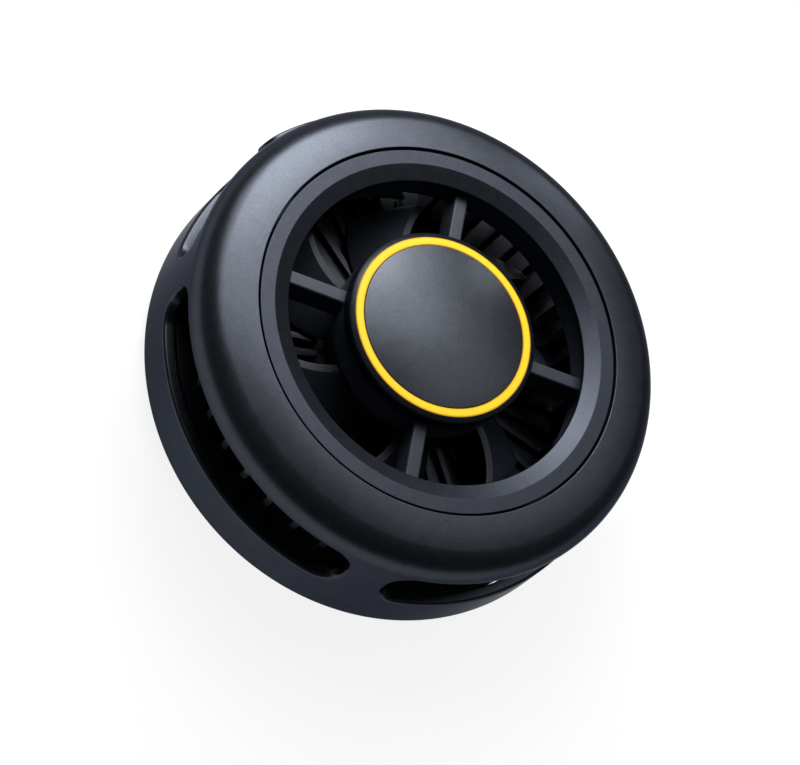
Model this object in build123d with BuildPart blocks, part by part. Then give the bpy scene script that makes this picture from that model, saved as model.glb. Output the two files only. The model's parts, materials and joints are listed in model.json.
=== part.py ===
import os
from math import acos, asin, atan2, cos, degrees, hypot, radians, sin, sqrt

from build123d import *

os.makedirs("parts", exist_ok=True)

# A round magnetic phone cooler lying on its back: the phone side is at z = 0, the air goes in
# at the front, +Z is the fan's axis and +Y is the side with the charging socket.
# All lengths are millimetres, all angles degrees.

# Clearances shared by all pieces
glue_gap = 0.02
bearing_gap = 0.03
slide_gap = 0.2
running_gap = 0.4
cut_overrun = 1.0

# Outside of the housing
base_radius = 33.0
base_edge_round = 1.8
foot_flat = 0.25
shell_wall = 1.4
crown_inset = 5.36
crown_round = 3.8
crown_top_round = 28.7
crown_shoulder_angle = 81
crown_lip_inset = 3.39
lip_edge_round = 0.2

# Layers from the phone side up to the floor of the air space
grip_thickness = 0.8
contact_pad_thickness = 0.6
cover_plate_thickness = 0.9
cold_flange_thickness = 0.9
ceramic_thickness = 0.6
pellet_height = 1.4
thermal_sheet_thickness = 0.3
pedestal_height = 0.5
sink_base_thickness = 2.0
magnet_height = 1.3
flux_ring_thickness = 0.5

# Layers from the floor of the air space up to the front
low_fin_height = 1.0
blade_height = 4.5
spoke_depth = 3.88
spoke_sink = 0.42
bezel_thickness = 2.0
shoulder_sink = 0.04
hub_stand = 2.14
guard_flange_thickness = 1.2
shell_flange_thickness = 1.2

# Heights that follow from the layers
shell_bottom_z = grip_thickness
cold_plate_bottom_z = contact_pad_thickness
cover_top_z = shell_bottom_z + cover_plate_thickness
cold_plate_top_z = cover_top_z + cold_flange_thickness
pellet_bottom_z = cold_plate_top_z + ceramic_thickness
pellet_top_z = pellet_bottom_z + pellet_height
hot_ceramic_top_z = pellet_top_z + ceramic_thickness
thermal_sheet_top_z = hot_ceramic_top_z + thermal_sheet_thickness
sink_bottom_z = thermal_sheet_top_z + pedestal_height
floor_z = sink_bottom_z + sink_base_thickness
magnet_top_z = cover_top_z + magnet_height
flux_ring_top_z = magnet_top_z + flux_ring_thickness
low_fin_top_z = floor_z + low_fin_height
impeller_bottom_z = low_fin_top_z + running_gap
blade_top_z = impeller_bottom_z + blade_height
spoke_bottom_z = blade_top_z + running_gap
spoke_top_z = spoke_bottom_z + spoke_depth
guard_top_z = spoke_top_z + spoke_sink
bezel_top_z = guard_top_z + bezel_thickness
crown_z = bezel_top_z - shoulder_sink - crown_round
guard_seat_z = guard_top_z - guard_flange_thickness
shell_flange_bottom_z = guard_seat_z - shell_flange_thickness
hub_top_z = spoke_top_z + hub_stand

# Air vents round the side and the pillars between them
vent_sill_height = 0.8
vent_top_drop = 0.36
vent_end_round = 3.2
side_vent_half_angle = 37.6
pillar_angle = 9.6
port_pillar_half_angle = 16
vent_low_z = floor_z + vent_sill_height
vent_top_z = crown_z - vent_top_drop
pillar_azimuth = side_vent_half_angle + pillar_angle / 2
pillar_azimuths = [pillar_azimuth, 180 - pillar_azimuth, 180 + pillar_azimuth, 360 - pillar_azimuth]

# Charging socket and the raised pad round it
port_azimuth = 90
port_pad_width = 10.2
port_pad_height = 4.7
port_pad_stand = 0.85
port_pad_edge_round = 0.2
port_pad_root = 2.9
socket_width = 8.94
socket_height = 3.16
socket_depth = 6.5
socket_sink = 0.8
socket_sheet = 0.3
tongue_width = 6.7
tongue_thickness = 0.7
tongue_depth = 5.2
tongue_root_depth = 1.2
port_z = (vent_low_z + vent_top_z) / 2
board_top_z = port_z - socket_height / 2

# Air intake: bezel, guard and spokes
intake_lip_height = 0.62
cone_rise = 1.08
cone_width = 1.99
bezel_ring_width = 1.85
bezel_gap = 0.25
bezel_edge_chamfer = 0.25
bezel_lip_air = 0.3
shroud_inset = 1.85
shroud_wall = 1.2
spoke_count = 4
spoke_first_azimuth = 45
spoke_width = 1.85
spoke_edge_round = 0.2
hook_count = 4
hook_reach = 0.6
hook_height = 0.65
hook_width = 3.0
hook_air = 0.05

# Hub, its cap with the light ring, and the circuit boards inside
hub_radius = 12.68
hub_wall = 0.9
hub_web_thickness = 0.8
hub_edge_round = 0.7
hub_plate_thickness = 1.42
hub_plate_edge = 0.08
hub_rim_width = 0.8
ring_width = 1.01
ring_gap = 0.05
light_guide_thickness = 0.6
light_guide_overlap = 0.32
led_board_thickness = 0.6
led_board_bore = 3.0
led_count = 8
led_length = 1.6
led_width = 0.8
led_height = 0.5
led_air = 0.2
motor_board_thickness = 0.6
link_pin_count = 4
link_pin_circle_radius = 6.0
link_pin_radius = 0.2

# Motor
shaft_radius = 1.0
shaft_end_chamfer = 0.2
bush_radius = 2.48
bush_recess = 0.2
bearing_tube_wall = 0.6
bearing_tube_gap = 0.3
thrust_pad_thickness = 0.3
thrust_gap = 0.1
clip_thickness = 0.25
clip_depth = 0.2
clip_air = 0.6
clip_mouth = 1.5
clip_drop = 0.4
clip_play = 0.15
stator_drop = 0.9
stator_lift = 1.8
stator_pole_count = 6
stator_tip_depth = 0.85
stator_collar = 1.68
stator_tooth_width = 1.6
stator_slot_width = 1.2
coil_wall = 0.8
coil_crown = 0.5
coil_air = 0.05
air_gap = 0.35
rotor_magnet_wall = 0.8
rotor_magnet_step = 0.2
yoke_wall = 0.48
yoke_floor = 0.4

# Impeller
blade_count = 7
blade_first_azimuth = 10.7
blade_tip_gap = 1.3
blade_bow = 0.5
blade_sweep_angle = 12.5
blade_wrap_angle = 24
blade_width = 1.1
blade_root = 0.4
impeller_hub_wall = 0.86
impeller_disc_thickness = 0.9
impeller_boss_radius = 2.2
impeller_boss_height = 0.6
shaft_seat_floor = 0.4

# Heat sink
sink_gap = 0.5
fin_count = 42
fin_phase = 6.9
fin_thickness = 0.9
fin_margin = 2.5
fin_start_inset = 0.18
fin_shroud_gap = 0.4
tall_fin_gap = 1.2
short_fin_gap = 0.3
post_fin_gap = 0.3
fin_board_gap = 0.4

# Cold side, magnets and cover
cold_plate_step = 2.0
cold_flange_gap = 0.9
contact_pad_margin = 0.4
module_corner_gap = 1.9
seal_wall = 0.8
pellet_rows = 10
pellet_side = 1.6
pedestal_margin = 0.5
foam_margin = 0.7
magnet_width = 3.9
magnet_count = 16
magnet_segment_gap = 0.4
magnet_post_gap = 0.3
grip_inner_margin = 0.4
grip_outer_margin = 0.15
grip_edge_round = 0.3
cover_rim_wall = 0.7
cover_rim_height = 1.3

# Fasteners
screw_inset = 2.1
screw_radius = 0.8
screw_head_radius = 1.25
screw_head_height = 0.7
screw_head_recess = 0.75
screw_hole_gap = 0.1
screw_depth = 5.5
screw_slot_length = 1.5
screw_slot_width = 0.3
screw_slot_depth = 0.35
cover_post_radius = 1.55
shell_post_radius = 1.7
pilot_extra = 1.0
board_screw_radius = 0.7
board_screw_head_radius = 1.2
board_screw_head_height = 0.7
board_screw_depth = 1.6
board_post_radius = 1.5

# Control board
board_thickness = 0.8
board_inset = 1.35
board_margin = 0.6
board_screw_gap = 0.5
chip_side = 2.4
chip_height = 0.8
chip_margin = 0.25
inductor_side = 2.6
inductor_height = 1.6
capacitor_count = 3
capacitor_length = 1.6
capacitor_width = 0.8
capacitor_height = 0.8
capacitor_pitch = 1.3
component_gap = 0.75

# Wires inside the housing
tec_wire_radius = 0.45
tec_wire_offset = 1.0
tec_wire_bend_radius = 1.5
tec_wire_inset = 2.05
wire_slot_width = 4.4
wire_slot_margin = 0.9
fan_cable_radius = 0.35
fan_cable_azimuth = 135
fan_cable_offset = 1.8
fan_cable_bulge = 0.6
fan_cable_bend_radius = 1.2
fan_cable_side_gap = 0.4
fan_cable_air = 0.1
cable_channel_width = 0.85


def polar(radius, azimuth, height=0):
    return (radius * cos(radians(azimuth)), radius * sin(radians(azimuth)), height)


def arc_point(centre_r, centre_z, radius, angle):
    # Point of a profile's arc, in the half plane of radius and height
    return (centre_r + radius * cos(radians(angle)), centre_z + radius * sin(radians(angle)))


def even_azimuths(count, first=0):
    return [first + number * 360 / count for number in range(count)]


def even_steps(count, pitch):
    # Places in a row, even about its middle
    return [(number - (count - 1) / 2) * pitch for number in range(count)]


def outward_plane(azimuth, radius, height):
    # Upright plane that faces outward at an azimuth, its y along +Z
    return Plane(
        origin=polar(radius, azimuth, height),
        x_dir=polar(1, azimuth + 90),
        z_dir=polar(1, azimuth),
    )


def ring(inner, outer, low_z, high_z):
    with BuildPart() as solid:
        with BuildSketch(Plane.XY.offset(low_z)):
            Circle(outer)
            if inner > 0:
                Circle(inner, mode=Mode.SUBTRACT)
        extrude(amount=high_z - low_z)
    return solid.part


def ring_sector(inner, outer, low_z, high_z, middle_azimuth, half_angle, end_round=0):
    # Piece of a flat ring, its two ends rounded top and bottom if asked
    first_azimuth = middle_azimuth - half_angle
    first_plane = Plane(
        origin=(0, 0, 0),
        x_dir=polar(1, first_azimuth),
        z_dir=polar(1, first_azimuth - 90),
    )
    with BuildPart() as sector:
        with BuildSketch(first_plane):
            with Locations(((inner + outer) / 2, (low_z + high_z) / 2)):
                Rectangle(outer - inner, high_z - low_z)
        revolve(axis=Axis.Z, revolution_arc=2 * half_angle)
        if end_round > 0:
            straight_edges = sector.edges().filter_by(GeomType.LINE)
            fillet(straight_edges - straight_edges.filter_by(Axis.Z), end_round)
    return sector.part


def block(width, depth, low_z, high_z, places, turn=0):
    # Upright boxes that stand on one height at several places
    with BuildPart() as solid:
        with BuildSketch(Plane.XY.offset(low_z)):
            with Locations(*places):
                Rectangle(width, depth, rotation=turn)
        extrude(amount=high_z - low_z)
    return solid.part


def pegs(radius, low_z, high_z, places):
    # Upright round pegs, or the cutters of round holes
    with BuildPart() as solid:
        with BuildSketch(Plane.XY.offset(low_z)):
            with Locations(*places):
                Circle(radius)
        extrude(amount=high_z - low_z)
    return solid.part


def wire_run(points, bend_radius, wire_radius):
    # Round wire along straight runs joined by tangent arcs
    with BuildPart() as wire:
        with BuildLine():
            path = FilletPolyline(*points, radius=bend_radius)
        with BuildSketch(Plane(origin=path @ 0, z_dir=path % 0)):
            Circle(wire_radius)
        sweep()
    return wire.part


def save(piece, name):
    piece.label = name
    export_step(piece, f"parts/{name}.step")


# Radii of the housing
foot_radius = base_radius - base_edge_round
foot_z = shell_bottom_z + base_edge_round
shell_bore = foot_radius - foot_flat
crown_radius = base_radius - crown_inset
crown_lip_radius = crown_radius - crown_lip_inset
bezel_radius = crown_lip_radius - bezel_gap
cone_radius = bezel_radius - bezel_ring_width
intake_radius = cone_radius - cone_width
shroud_outer = crown_lip_radius - shroud_inset
shroud_radius = shroud_outer - shroud_wall
fin_inner_radius = hub_radius - fin_start_inset
fin_outer_radius = shell_bore - fin_margin
screw_circle = shell_bore - screw_inset
screw_places = [polar(screw_circle, azimuth) for azimuth in pillar_azimuths]

# Radii of the cold side, and the module that fits inside the ring of magnets
magnet_outer_radius = screw_circle - cover_post_radius - magnet_post_gap
magnet_inner_radius = magnet_outer_radius - magnet_width
magnet_middle_radius = (magnet_inner_radius + magnet_outer_radius) / 2
cold_flange_radius = magnet_inner_radius - cold_flange_gap
cold_plate_radius = cold_flange_radius - cold_plate_step
ceramic_side = sqrt(2) * (magnet_inner_radius - module_corner_gap)

# Line of the side wall: the outer tangent of the foot's round and the crown's round
centre_run = crown_radius - foot_radius
centre_rise = crown_z - foot_z
flank_angle = degrees(atan2(centre_rise, centre_run))
flank_angle -= degrees(acos((base_edge_round - crown_round) / hypot(centre_run, centre_rise)))

# Vents of the outer shell: one at each side, one opposite the socket and a short pair beside it
end_vent_first = side_vent_half_angle + pillar_angle
end_vent_last = port_azimuth - port_pillar_half_angle
short_vent_middle = (end_vent_first + end_vent_last) / 2
short_vent_half_angle = (end_vent_last - end_vent_first) / 2
vents = [
    (0, side_vent_half_angle),
    (180, side_vent_half_angle),
    (270, 90 - end_vent_first),
    (short_vent_middle, short_vent_half_angle),
    (180 - short_vent_middle, short_vent_half_angle),
]
vent_outer_reach = base_radius + cut_overrun
vent_cutters = [
    ring_sector(screw_circle, vent_outer_reach, vent_low_z, vent_top_z, middle, half, vent_end_round)
    for middle, half in vents
]

# Raised pad round the charging socket: its face runs along the side wall and stands off it
pad_round = crown_round + port_pad_stand
pad_line_reach = pad_round - (port_z - crown_z) * sin(radians(flank_angle))
port_pad_radius = crown_radius + pad_line_reach / cos(radians(flank_angle))
port_pad_bore = port_pad_radius - port_pad_root
socket_face = sqrt(port_pad_radius**2 - (socket_width / 2) ** 2) - socket_sink
socket_back = socket_face - socket_depth
with BuildPart() as port_pad:
    with BuildSketch(Plane.XZ):
        with BuildLine():
            Polyline(
                (port_pad_bore, foot_z),
                arc_point(foot_radius, foot_z, base_edge_round + port_pad_stand, flank_angle),
                arc_point(crown_radius, crown_z, pad_round, flank_angle),
                (port_pad_bore, crown_z),
                close=True,
            )
        make_face()
    revolve(axis=Axis.Z)
    with BuildSketch(outward_plane(port_azimuth, 0, port_z)):
        SlotOverall(port_pad_width, port_pad_height)
    extrude(amount=port_pad_radius + port_pad_root, mode=Mode.INTERSECT)
    fillet(port_pad.faces().sort_by(Axis.Y)[-1].edges(), port_pad_edge_round)

# Outer shell: crown, side wall, inner flange, vents, screw posts and the socket's pad
# The crown has a round shoulder, and an almost flat arc from there in to the lip
top_centre_radius, top_centre_z = arc_point(
    crown_radius, crown_z, crown_round - crown_top_round, crown_shoulder_angle
)
inner_round = crown_round - shell_wall
inner_top_round = crown_top_round - shell_wall
lip_angle = degrees(acos((crown_lip_radius - top_centre_radius) / crown_top_round))
lip_corner = arc_point(top_centre_radius, top_centre_z, crown_top_round, lip_angle)
lip_inner_radius = crown_lip_radius + shell_wall
lip_inner_angle = degrees(acos((lip_inner_radius - top_centre_radius) / inner_top_round))
lip_inner_corner = arc_point(top_centre_radius, top_centre_z, inner_top_round, lip_inner_angle)
shoulder = arc_point(crown_radius, crown_z, crown_round, crown_shoulder_angle)
inner_shoulder = arc_point(crown_radius, crown_z, inner_round, crown_shoulder_angle)
shoulder_middle = (flank_angle + crown_shoulder_angle) / 2
top_middle = (crown_shoulder_angle + lip_angle) / 2
inner_top_middle = (crown_shoulder_angle + lip_inner_angle) / 2
flank_foot = arc_point(foot_radius, foot_z, base_edge_round, flank_angle)
flank_top = arc_point(crown_radius, crown_z, crown_round, flank_angle)
inner_flank_top = arc_point(crown_radius, crown_z, inner_round, flank_angle)
shell_flange_bore = shroud_outer + slide_gap
shell_post_top_z = crown_z + crown_round / 2

with BuildPart() as outer_shell:
    with BuildSketch(Plane.XZ) as shell_section:
        with BuildLine():
            ThreePointArc(
                (foot_radius, shell_bottom_z),
                arc_point(foot_radius, foot_z, base_edge_round, (flank_angle - 90) / 2),
                flank_foot,
            )
            Line(flank_foot, flank_top)
            ThreePointArc(
                flank_top,
                arc_point(crown_radius, crown_z, crown_round, shoulder_middle),
                shoulder,
            )
            ThreePointArc(
                shoulder,
                arc_point(top_centre_radius, top_centre_z, crown_top_round, top_middle),
                lip_corner,
            )
            Polyline(
                lip_corner,
                (crown_lip_radius, guard_seat_z),
                (shell_flange_bore, guard_seat_z),
                (shell_flange_bore, shell_flange_bottom_z),
                (lip_inner_radius, shell_flange_bottom_z),
                lip_inner_corner,
            )
            ThreePointArc(
                lip_inner_corner,
                arc_point(top_centre_radius, top_centre_z, inner_top_round, inner_top_middle),
                inner_shoulder,
            )
            ThreePointArc(
                inner_shoulder,
                arc_point(crown_radius, crown_z, inner_round, shoulder_middle),
                inner_flank_top,
            )
            Polyline(
                inner_flank_top,
                (shell_bore, floor_z),
                (shell_bore, shell_bottom_z),
                (foot_radius, shell_bottom_z),
            )
        make_face()
        fillet(shell_section.vertices().sort_by_distance(lip_corner)[0], lip_edge_round)
    revolve(axis=Axis.Z)
    add(vent_cutters, mode=Mode.SUBTRACT)
    add(port_pad.part)
    add(pegs(shell_post_radius, floor_z, shell_post_top_z, screw_places))
    add(
        pegs(screw_radius + glue_gap, floor_z, floor_z + screw_depth + pilot_extra, screw_places),
        mode=Mode.SUBTRACT,
    )
    with BuildSketch(outward_plane(port_azimuth, socket_back, port_z)):
        SlotOverall(socket_width + slide_gap, socket_height + slide_gap)
    extrude(amount=port_pad_radius - socket_back + cut_overrun, mode=Mode.SUBTRACT)
save(outer_shell.part, "outer_shell")

# Front bezel: flat ring with a shallow cone down to the intake
cone_foot_z = bezel_top_z - cone_rise
with BuildPart() as front_bezel:
    with BuildSketch(Plane.XZ):
        with BuildLine():
            Polyline(
                (bezel_radius, guard_top_z),
                (bezel_radius, bezel_top_z - bezel_edge_chamfer),
                (bezel_radius - bezel_edge_chamfer, bezel_top_z),
                (cone_radius, bezel_top_z),
                (intake_radius, cone_foot_z),
                (intake_radius, cone_foot_z - intake_lip_height),
                (shroud_outer, guard_top_z + bezel_lip_air),
                (shroud_outer, guard_top_z),
                close=True,
            )
        make_face()
    revolve(axis=Axis.Z)
save(front_bezel.part, "front_bezel")

# Heights in the hub, from its cap down to the rotor
cap_bottom_z = hub_top_z - hub_plate_thickness
hub_cup_top_z = cap_bottom_z - light_guide_thickness
led_board_top_z = hub_cup_top_z - led_air - led_height
web_top_z = led_board_top_z - led_board_thickness
web_bottom_z = web_top_z - hub_web_thickness
motor_board_bottom_z = web_bottom_z - motor_board_thickness
fan_cable_z = web_bottom_z - fan_cable_air - fan_cable_radius
rotor_head_z = fan_cable_z - fan_cable_radius - running_gap
impeller_disc_top_z = impeller_bottom_z + impeller_disc_thickness
impeller_boss_top_z = impeller_disc_top_z + impeller_boss_height
bearing_tube_bottom_z = impeller_boss_top_z + bearing_tube_gap
thrust_pad_bottom_z = web_bottom_z - thrust_pad_thickness
shaft_top_z = thrust_pad_bottom_z - thrust_gap
clip_top_z = shaft_top_z - clip_drop
clip_bottom_z = clip_top_z - clip_thickness
bush_top_z = clip_bottom_z - clip_play
bush_bottom_z = bearing_tube_bottom_z + bush_recess
yoke_floor_top_z = impeller_disc_top_z + yoke_floor
stator_bottom_z = yoke_floor_top_z + stator_lift
stator_top_z = motor_board_bottom_z - stator_drop

# Radii in the hub, from its wall in to the shaft
hub_bore = hub_radius - hub_wall
rotor_radius = hub_bore - running_gap
rotor_bore = rotor_radius - impeller_hub_wall
yoke_radius = rotor_bore - glue_gap
yoke_bore = yoke_radius - yoke_wall
rotor_magnet_radius = yoke_bore - glue_gap
rotor_magnet_bore = rotor_magnet_radius - rotor_magnet_wall
stator_radius = rotor_magnet_bore - air_gap
bearing_tube_bore = bush_radius + glue_gap
bearing_tube_radius = bearing_tube_bore + bearing_tube_wall
stator_bore = bearing_tube_radius + glue_gap
stator_collar_radius = stator_bore + stator_collar
stator_tip_bore = stator_radius - stator_tip_depth
link_pin_places = [polar(link_pin_circle_radius, azimuth) for azimuth in even_azimuths(link_pin_count)]

# Fan guard: seat flange, shroud, four spokes, hub cup, bearing tube and the snap hooks
hook_top_z = shell_flange_bottom_z - hook_air
hook_half_angle = degrees(hook_width / 2 / shroud_outer)
spoke_length = shroud_radius - hub_radius + hub_wall / 2 + shroud_wall / 2
hooks = [
    ring_sector(
        shroud_outer - shroud_wall / 2,
        shroud_outer + hook_reach,
        hook_top_z - hook_height,
        hook_top_z,
        azimuth,
        hook_half_angle,
    )
    for azimuth in even_azimuths(hook_count)
]
channel_inner = hub_bore - hub_wall
channel_outer = shroud_outer + shroud_wall

with BuildPart() as fan_guard:
    with BuildSketch(Plane.XZ):
        with BuildLine():
            Polyline(
                (shroud_radius, spoke_bottom_z),
                (shroud_outer, spoke_bottom_z),
                (shroud_outer, guard_seat_z),
                (crown_lip_radius - slide_gap, guard_seat_z),
                (crown_lip_radius - slide_gap, guard_top_z),
                (shroud_radius, guard_top_z),
                close=True,
            )
        make_face()
    revolve(axis=Axis.Z)
    add(hooks)
    add(ring(0, hub_radius, spoke_bottom_z, hub_cup_top_z))
    for azimuth in even_azimuths(spoke_count, spoke_first_azimuth):
        spoke_root = hub_radius - hub_wall / 2
        with BuildSketch(outward_plane(azimuth, spoke_root, spoke_bottom_z)) as spoke_section:
            with Locations((0, spoke_depth / 2)):
                Rectangle(spoke_width, spoke_depth)
            fillet(spoke_section.vertices().group_by(Axis.Y)[-1], spoke_edge_round)
        extrude(amount=spoke_length)
    add(ring(0, hub_bore, spoke_bottom_z, web_bottom_z), mode=Mode.SUBTRACT)
    add(ring(0, hub_bore, web_top_z, hub_cup_top_z), mode=Mode.SUBTRACT)
    add(ring(0, bearing_tube_radius, bearing_tube_bottom_z, web_bottom_z))
    add(ring(0, bearing_tube_bore, bearing_tube_bottom_z, web_bottom_z), mode=Mode.SUBTRACT)
    add(
        pegs(link_pin_radius + glue_gap, web_bottom_z, web_top_z, link_pin_places),
        mode=Mode.SUBTRACT,
    )
    with BuildSketch(outward_plane(fan_cable_azimuth, channel_inner, spoke_bottom_z)):
        Rectangle(cable_channel_width, 2 * (web_bottom_z - spoke_bottom_z))
    extrude(amount=channel_outer - channel_inner, mode=Mode.SUBTRACT)
save(fan_guard.part, "fan_guard")

# Hub cap: trim ring, light guide with its raised ring, and the plate in the middle
ring_outer_radius = hub_radius - hub_rim_width
ring_inner_radius = ring_outer_radius - ring_width
light_guide_radius = ring_outer_radius + light_guide_overlap
with BuildPart() as hub_rim:
    with BuildSketch(Plane.XZ) as rim_section:
        with BuildLine():
            Polyline(
                (light_guide_radius + ring_gap, hub_cup_top_z),
                (hub_radius, hub_cup_top_z),
                (hub_radius, hub_top_z),
                (ring_outer_radius + ring_gap, hub_top_z),
                (ring_outer_radius + ring_gap, cap_bottom_z + ring_gap),
                (light_guide_radius + ring_gap, cap_bottom_z + ring_gap),
                close=True,
            )
        make_face()
        fillet(rim_section.vertices().sort_by_distance((hub_radius, hub_top_z))[0], hub_edge_round)
    revolve(axis=Axis.Z)
save(hub_rim.part, "hub_rim")

with BuildPart() as light_guide:
    add(ring(0, light_guide_radius, hub_cup_top_z, cap_bottom_z))
    add(ring(ring_inner_radius, ring_outer_radius, cap_bottom_z, hub_top_z))
save(light_guide.part, "light_guide")

with BuildPart() as hub_plate:
    add(ring(0, ring_inner_radius - ring_gap, cap_bottom_z, hub_top_z))
    chamfer(hub_plate.faces().sort_by(Axis.Z)[-1].edges(), hub_plate_edge)
save(hub_plate.part, "hub_plate")

# Lamp board with its lamps, and the pins down to the motor's board
led_circle = ring_inner_radius - led_width / 2
with BuildPart() as led_board:
    add(ring(led_board_bore, hub_bore - slide_gap, web_top_z, led_board_top_z))
    add(
        pegs(link_pin_radius + glue_gap, web_top_z, led_board_top_z, link_pin_places),
        mode=Mode.SUBTRACT,
    )
save(led_board.part, "led_board")

with BuildPart() as ring_lamps:
    with BuildSketch(Plane.XY.offset(led_board_top_z)):
        with PolarLocations(led_circle, led_count):
            Rectangle(led_width, led_length)
    extrude(amount=led_height)
save(ring_lamps.part, "ring_lamps")

save(pegs(link_pin_radius, motor_board_bottom_z, led_board_top_z, link_pin_places), "link_pins")

with BuildPart() as motor_board:
    add(ring(bearing_tube_radius + slide_gap, stator_radius, motor_board_bottom_z, web_bottom_z))
    add(
        pegs(link_pin_radius + glue_gap, motor_board_bottom_z, web_bottom_z, link_pin_places),
        mode=Mode.SUBTRACT,
    )
save(motor_board.part, "motor_board")

# Stator: laminated core with its poles, and one coil round each pole
pole_azimuths = even_azimuths(stator_pole_count)
slot_azimuths = even_azimuths(stator_pole_count, 180 / stator_pole_count)
slot_cut_depth = 2 * (stator_tip_depth + cut_overrun)
tooth_length = stator_tip_bore - stator_collar_radius
tooth_middle = (stator_tip_bore + stator_collar_radius) / 2
with BuildPart() as stator_core:
    with BuildSketch(Plane.XY.offset(stator_bottom_z)):
        Circle(stator_radius)
        Circle(stator_tip_bore, mode=Mode.SUBTRACT)
        for azimuth in slot_azimuths:
            with Locations(polar(stator_radius, azimuth)):
                Rectangle(slot_cut_depth, stator_slot_width, rotation=azimuth, mode=Mode.SUBTRACT)
        Circle(stator_collar_radius)
        for azimuth in pole_azimuths:
            with Locations(polar(tooth_middle, azimuth)):
                Rectangle(tooth_length + stator_tip_depth, stator_tooth_width, rotation=azimuth)
        Circle(stator_bore, mode=Mode.SUBTRACT)
    extrude(amount=stator_top_z - stator_bottom_z)
save(stator_core.part, "stator_core")

stator_height = stator_top_z - stator_bottom_z
coil_hole_width = stator_tooth_width + 2 * coil_air
coil_outer_width = coil_hole_width + 2 * coil_wall
coil_inner_radius = stator_collar_radius + coil_wall / 2
coil_outer_radius = sqrt(stator_tip_bore**2 - (coil_outer_width / 2) ** 2) - coil_air
with BuildPart() as stator_coils:
    for azimuth in pole_azimuths:
        coil_plane = outward_plane(azimuth, coil_inner_radius, (stator_bottom_z + stator_top_z) / 2)
        with BuildSketch(coil_plane):
            RectangleRounded(coil_outer_width, stator_height + 2 * coil_crown, coil_crown)
            Rectangle(coil_hole_width, stator_height + 2 * coil_air, mode=Mode.SUBTRACT)
        extrude(amount=coil_outer_radius - coil_inner_radius)
save(stator_coils.part, "stator_coils")

# Bearing: sintered bush, thrust pad above the shaft's end and the clip that holds the rotor
save(ring(shaft_radius + bearing_gap, bush_radius, bush_bottom_z, bush_top_z), "bearing_bush")
save(ring(0, bush_radius, thrust_pad_bottom_z, web_bottom_z), "thrust_pad")

clip_seat_radius = shaft_radius - clip_depth
clip_radius = bearing_tube_bore - clip_air
with BuildPart() as shaft_clip:
    add(ring(clip_seat_radius + glue_gap, clip_radius, clip_bottom_z, clip_top_z))
    add(
        block(clip_radius, clip_mouth, clip_bottom_z, clip_top_z, [(clip_radius / 2, 0)]),
        mode=Mode.SUBTRACT,
    )
save(shaft_clip.part, "shaft_clip")

shaft_bottom_z = impeller_bottom_z + shaft_seat_floor
with BuildPart() as motor_shaft:
    add(ring(0, shaft_radius, shaft_bottom_z, shaft_top_z))
    add(
        ring(clip_seat_radius, shaft_radius, clip_bottom_z - glue_gap, clip_top_z + glue_gap),
        mode=Mode.SUBTRACT,
    )
    chamfer(motor_shaft.faces().sort_by(Axis.Z)[-1].edges(), shaft_end_chamfer)
save(motor_shaft.part, "motor_shaft")

# Rotor: steel yoke, ring magnet and the impeller that carries them
yoke_top_z = rotor_head_z - rotor_magnet_step
rotor_magnet_top_z = yoke_top_z - rotor_magnet_step
rotor_magnet_bottom_z = yoke_floor_top_z + rotor_magnet_step
yoke_eye_radius = impeller_boss_radius + slide_gap
with BuildPart() as rotor_yoke:
    add(ring(yoke_eye_radius, yoke_radius, impeller_disc_top_z, yoke_top_z))
    add(ring(0, yoke_bore, yoke_floor_top_z, yoke_top_z), mode=Mode.SUBTRACT)
save(rotor_yoke.part, "rotor_yoke")

save(
    ring(rotor_magnet_bore, rotor_magnet_radius, rotor_magnet_bottom_z, rotor_magnet_top_z),
    "rotor_magnet",
)

# A blade's section lies level and is drawn up with a twist, the leading edge on top
blade_tip_radius = shroud_radius - blade_tip_gap
blade_inner_radius = rotor_radius - blade_root
blade_middle_radius = (blade_inner_radius + blade_tip_radius) / 2


def blade_outline(radius, azimuth, offset):
    # Point beside the blade's middle line, offset to one side
    return polar(hypot(radius, offset), azimuth + degrees(atan2(offset, radius)))


def blade(top_azimuth):
    low_azimuth = top_azimuth + blade_wrap_angle
    half = blade_width / 2
    half_sweep = blade_sweep_angle / 2
    bow_angle = degrees(blade_bow / blade_middle_radius)
    with BuildSketch(Plane.XY.offset(impeller_bottom_z)) as section:
        with BuildLine():
            trailing = ThreePointArc(
                blade_outline(blade_inner_radius, low_azimuth + half_sweep, half),
                blade_outline(blade_middle_radius, low_azimuth + bow_angle, half),
                blade_outline(blade_tip_radius, low_azimuth - half_sweep, half),
            )
            leading = ThreePointArc(
                blade_outline(blade_inner_radius, low_azimuth + half_sweep, -half),
                blade_outline(blade_middle_radius, low_azimuth + bow_angle, -half),
                blade_outline(blade_tip_radius, low_azimuth - half_sweep, -half),
            )
            Line(trailing @ 0, leading @ 0)
            Line(trailing @ 1, leading @ 1)
        make_face()
    return Solid.extrude_linear_with_rotation(
        section.sketch.faces()[0].outer_wire(),
        center=(0, 0, impeller_bottom_z),
        normal=(0, 0, blade_height),
        angle=-blade_wrap_angle,
    )


blades = [blade(azimuth) for azimuth in even_azimuths(blade_count, blade_first_azimuth)]
with BuildPart() as impeller:
    add(ring(0, rotor_radius, impeller_bottom_z, rotor_head_z))
    add(blades)
    add(ring(0, rotor_bore, impeller_disc_top_z, rotor_head_z), mode=Mode.SUBTRACT)
    add(ring(0, impeller_boss_radius, impeller_disc_top_z, impeller_boss_top_z))
    add(
        ring(0, shaft_radius + glue_gap, shaft_bottom_z, impeller_boss_top_z),
        mode=Mode.SUBTRACT,
    )
save(impeller.part, "impeller")

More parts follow.
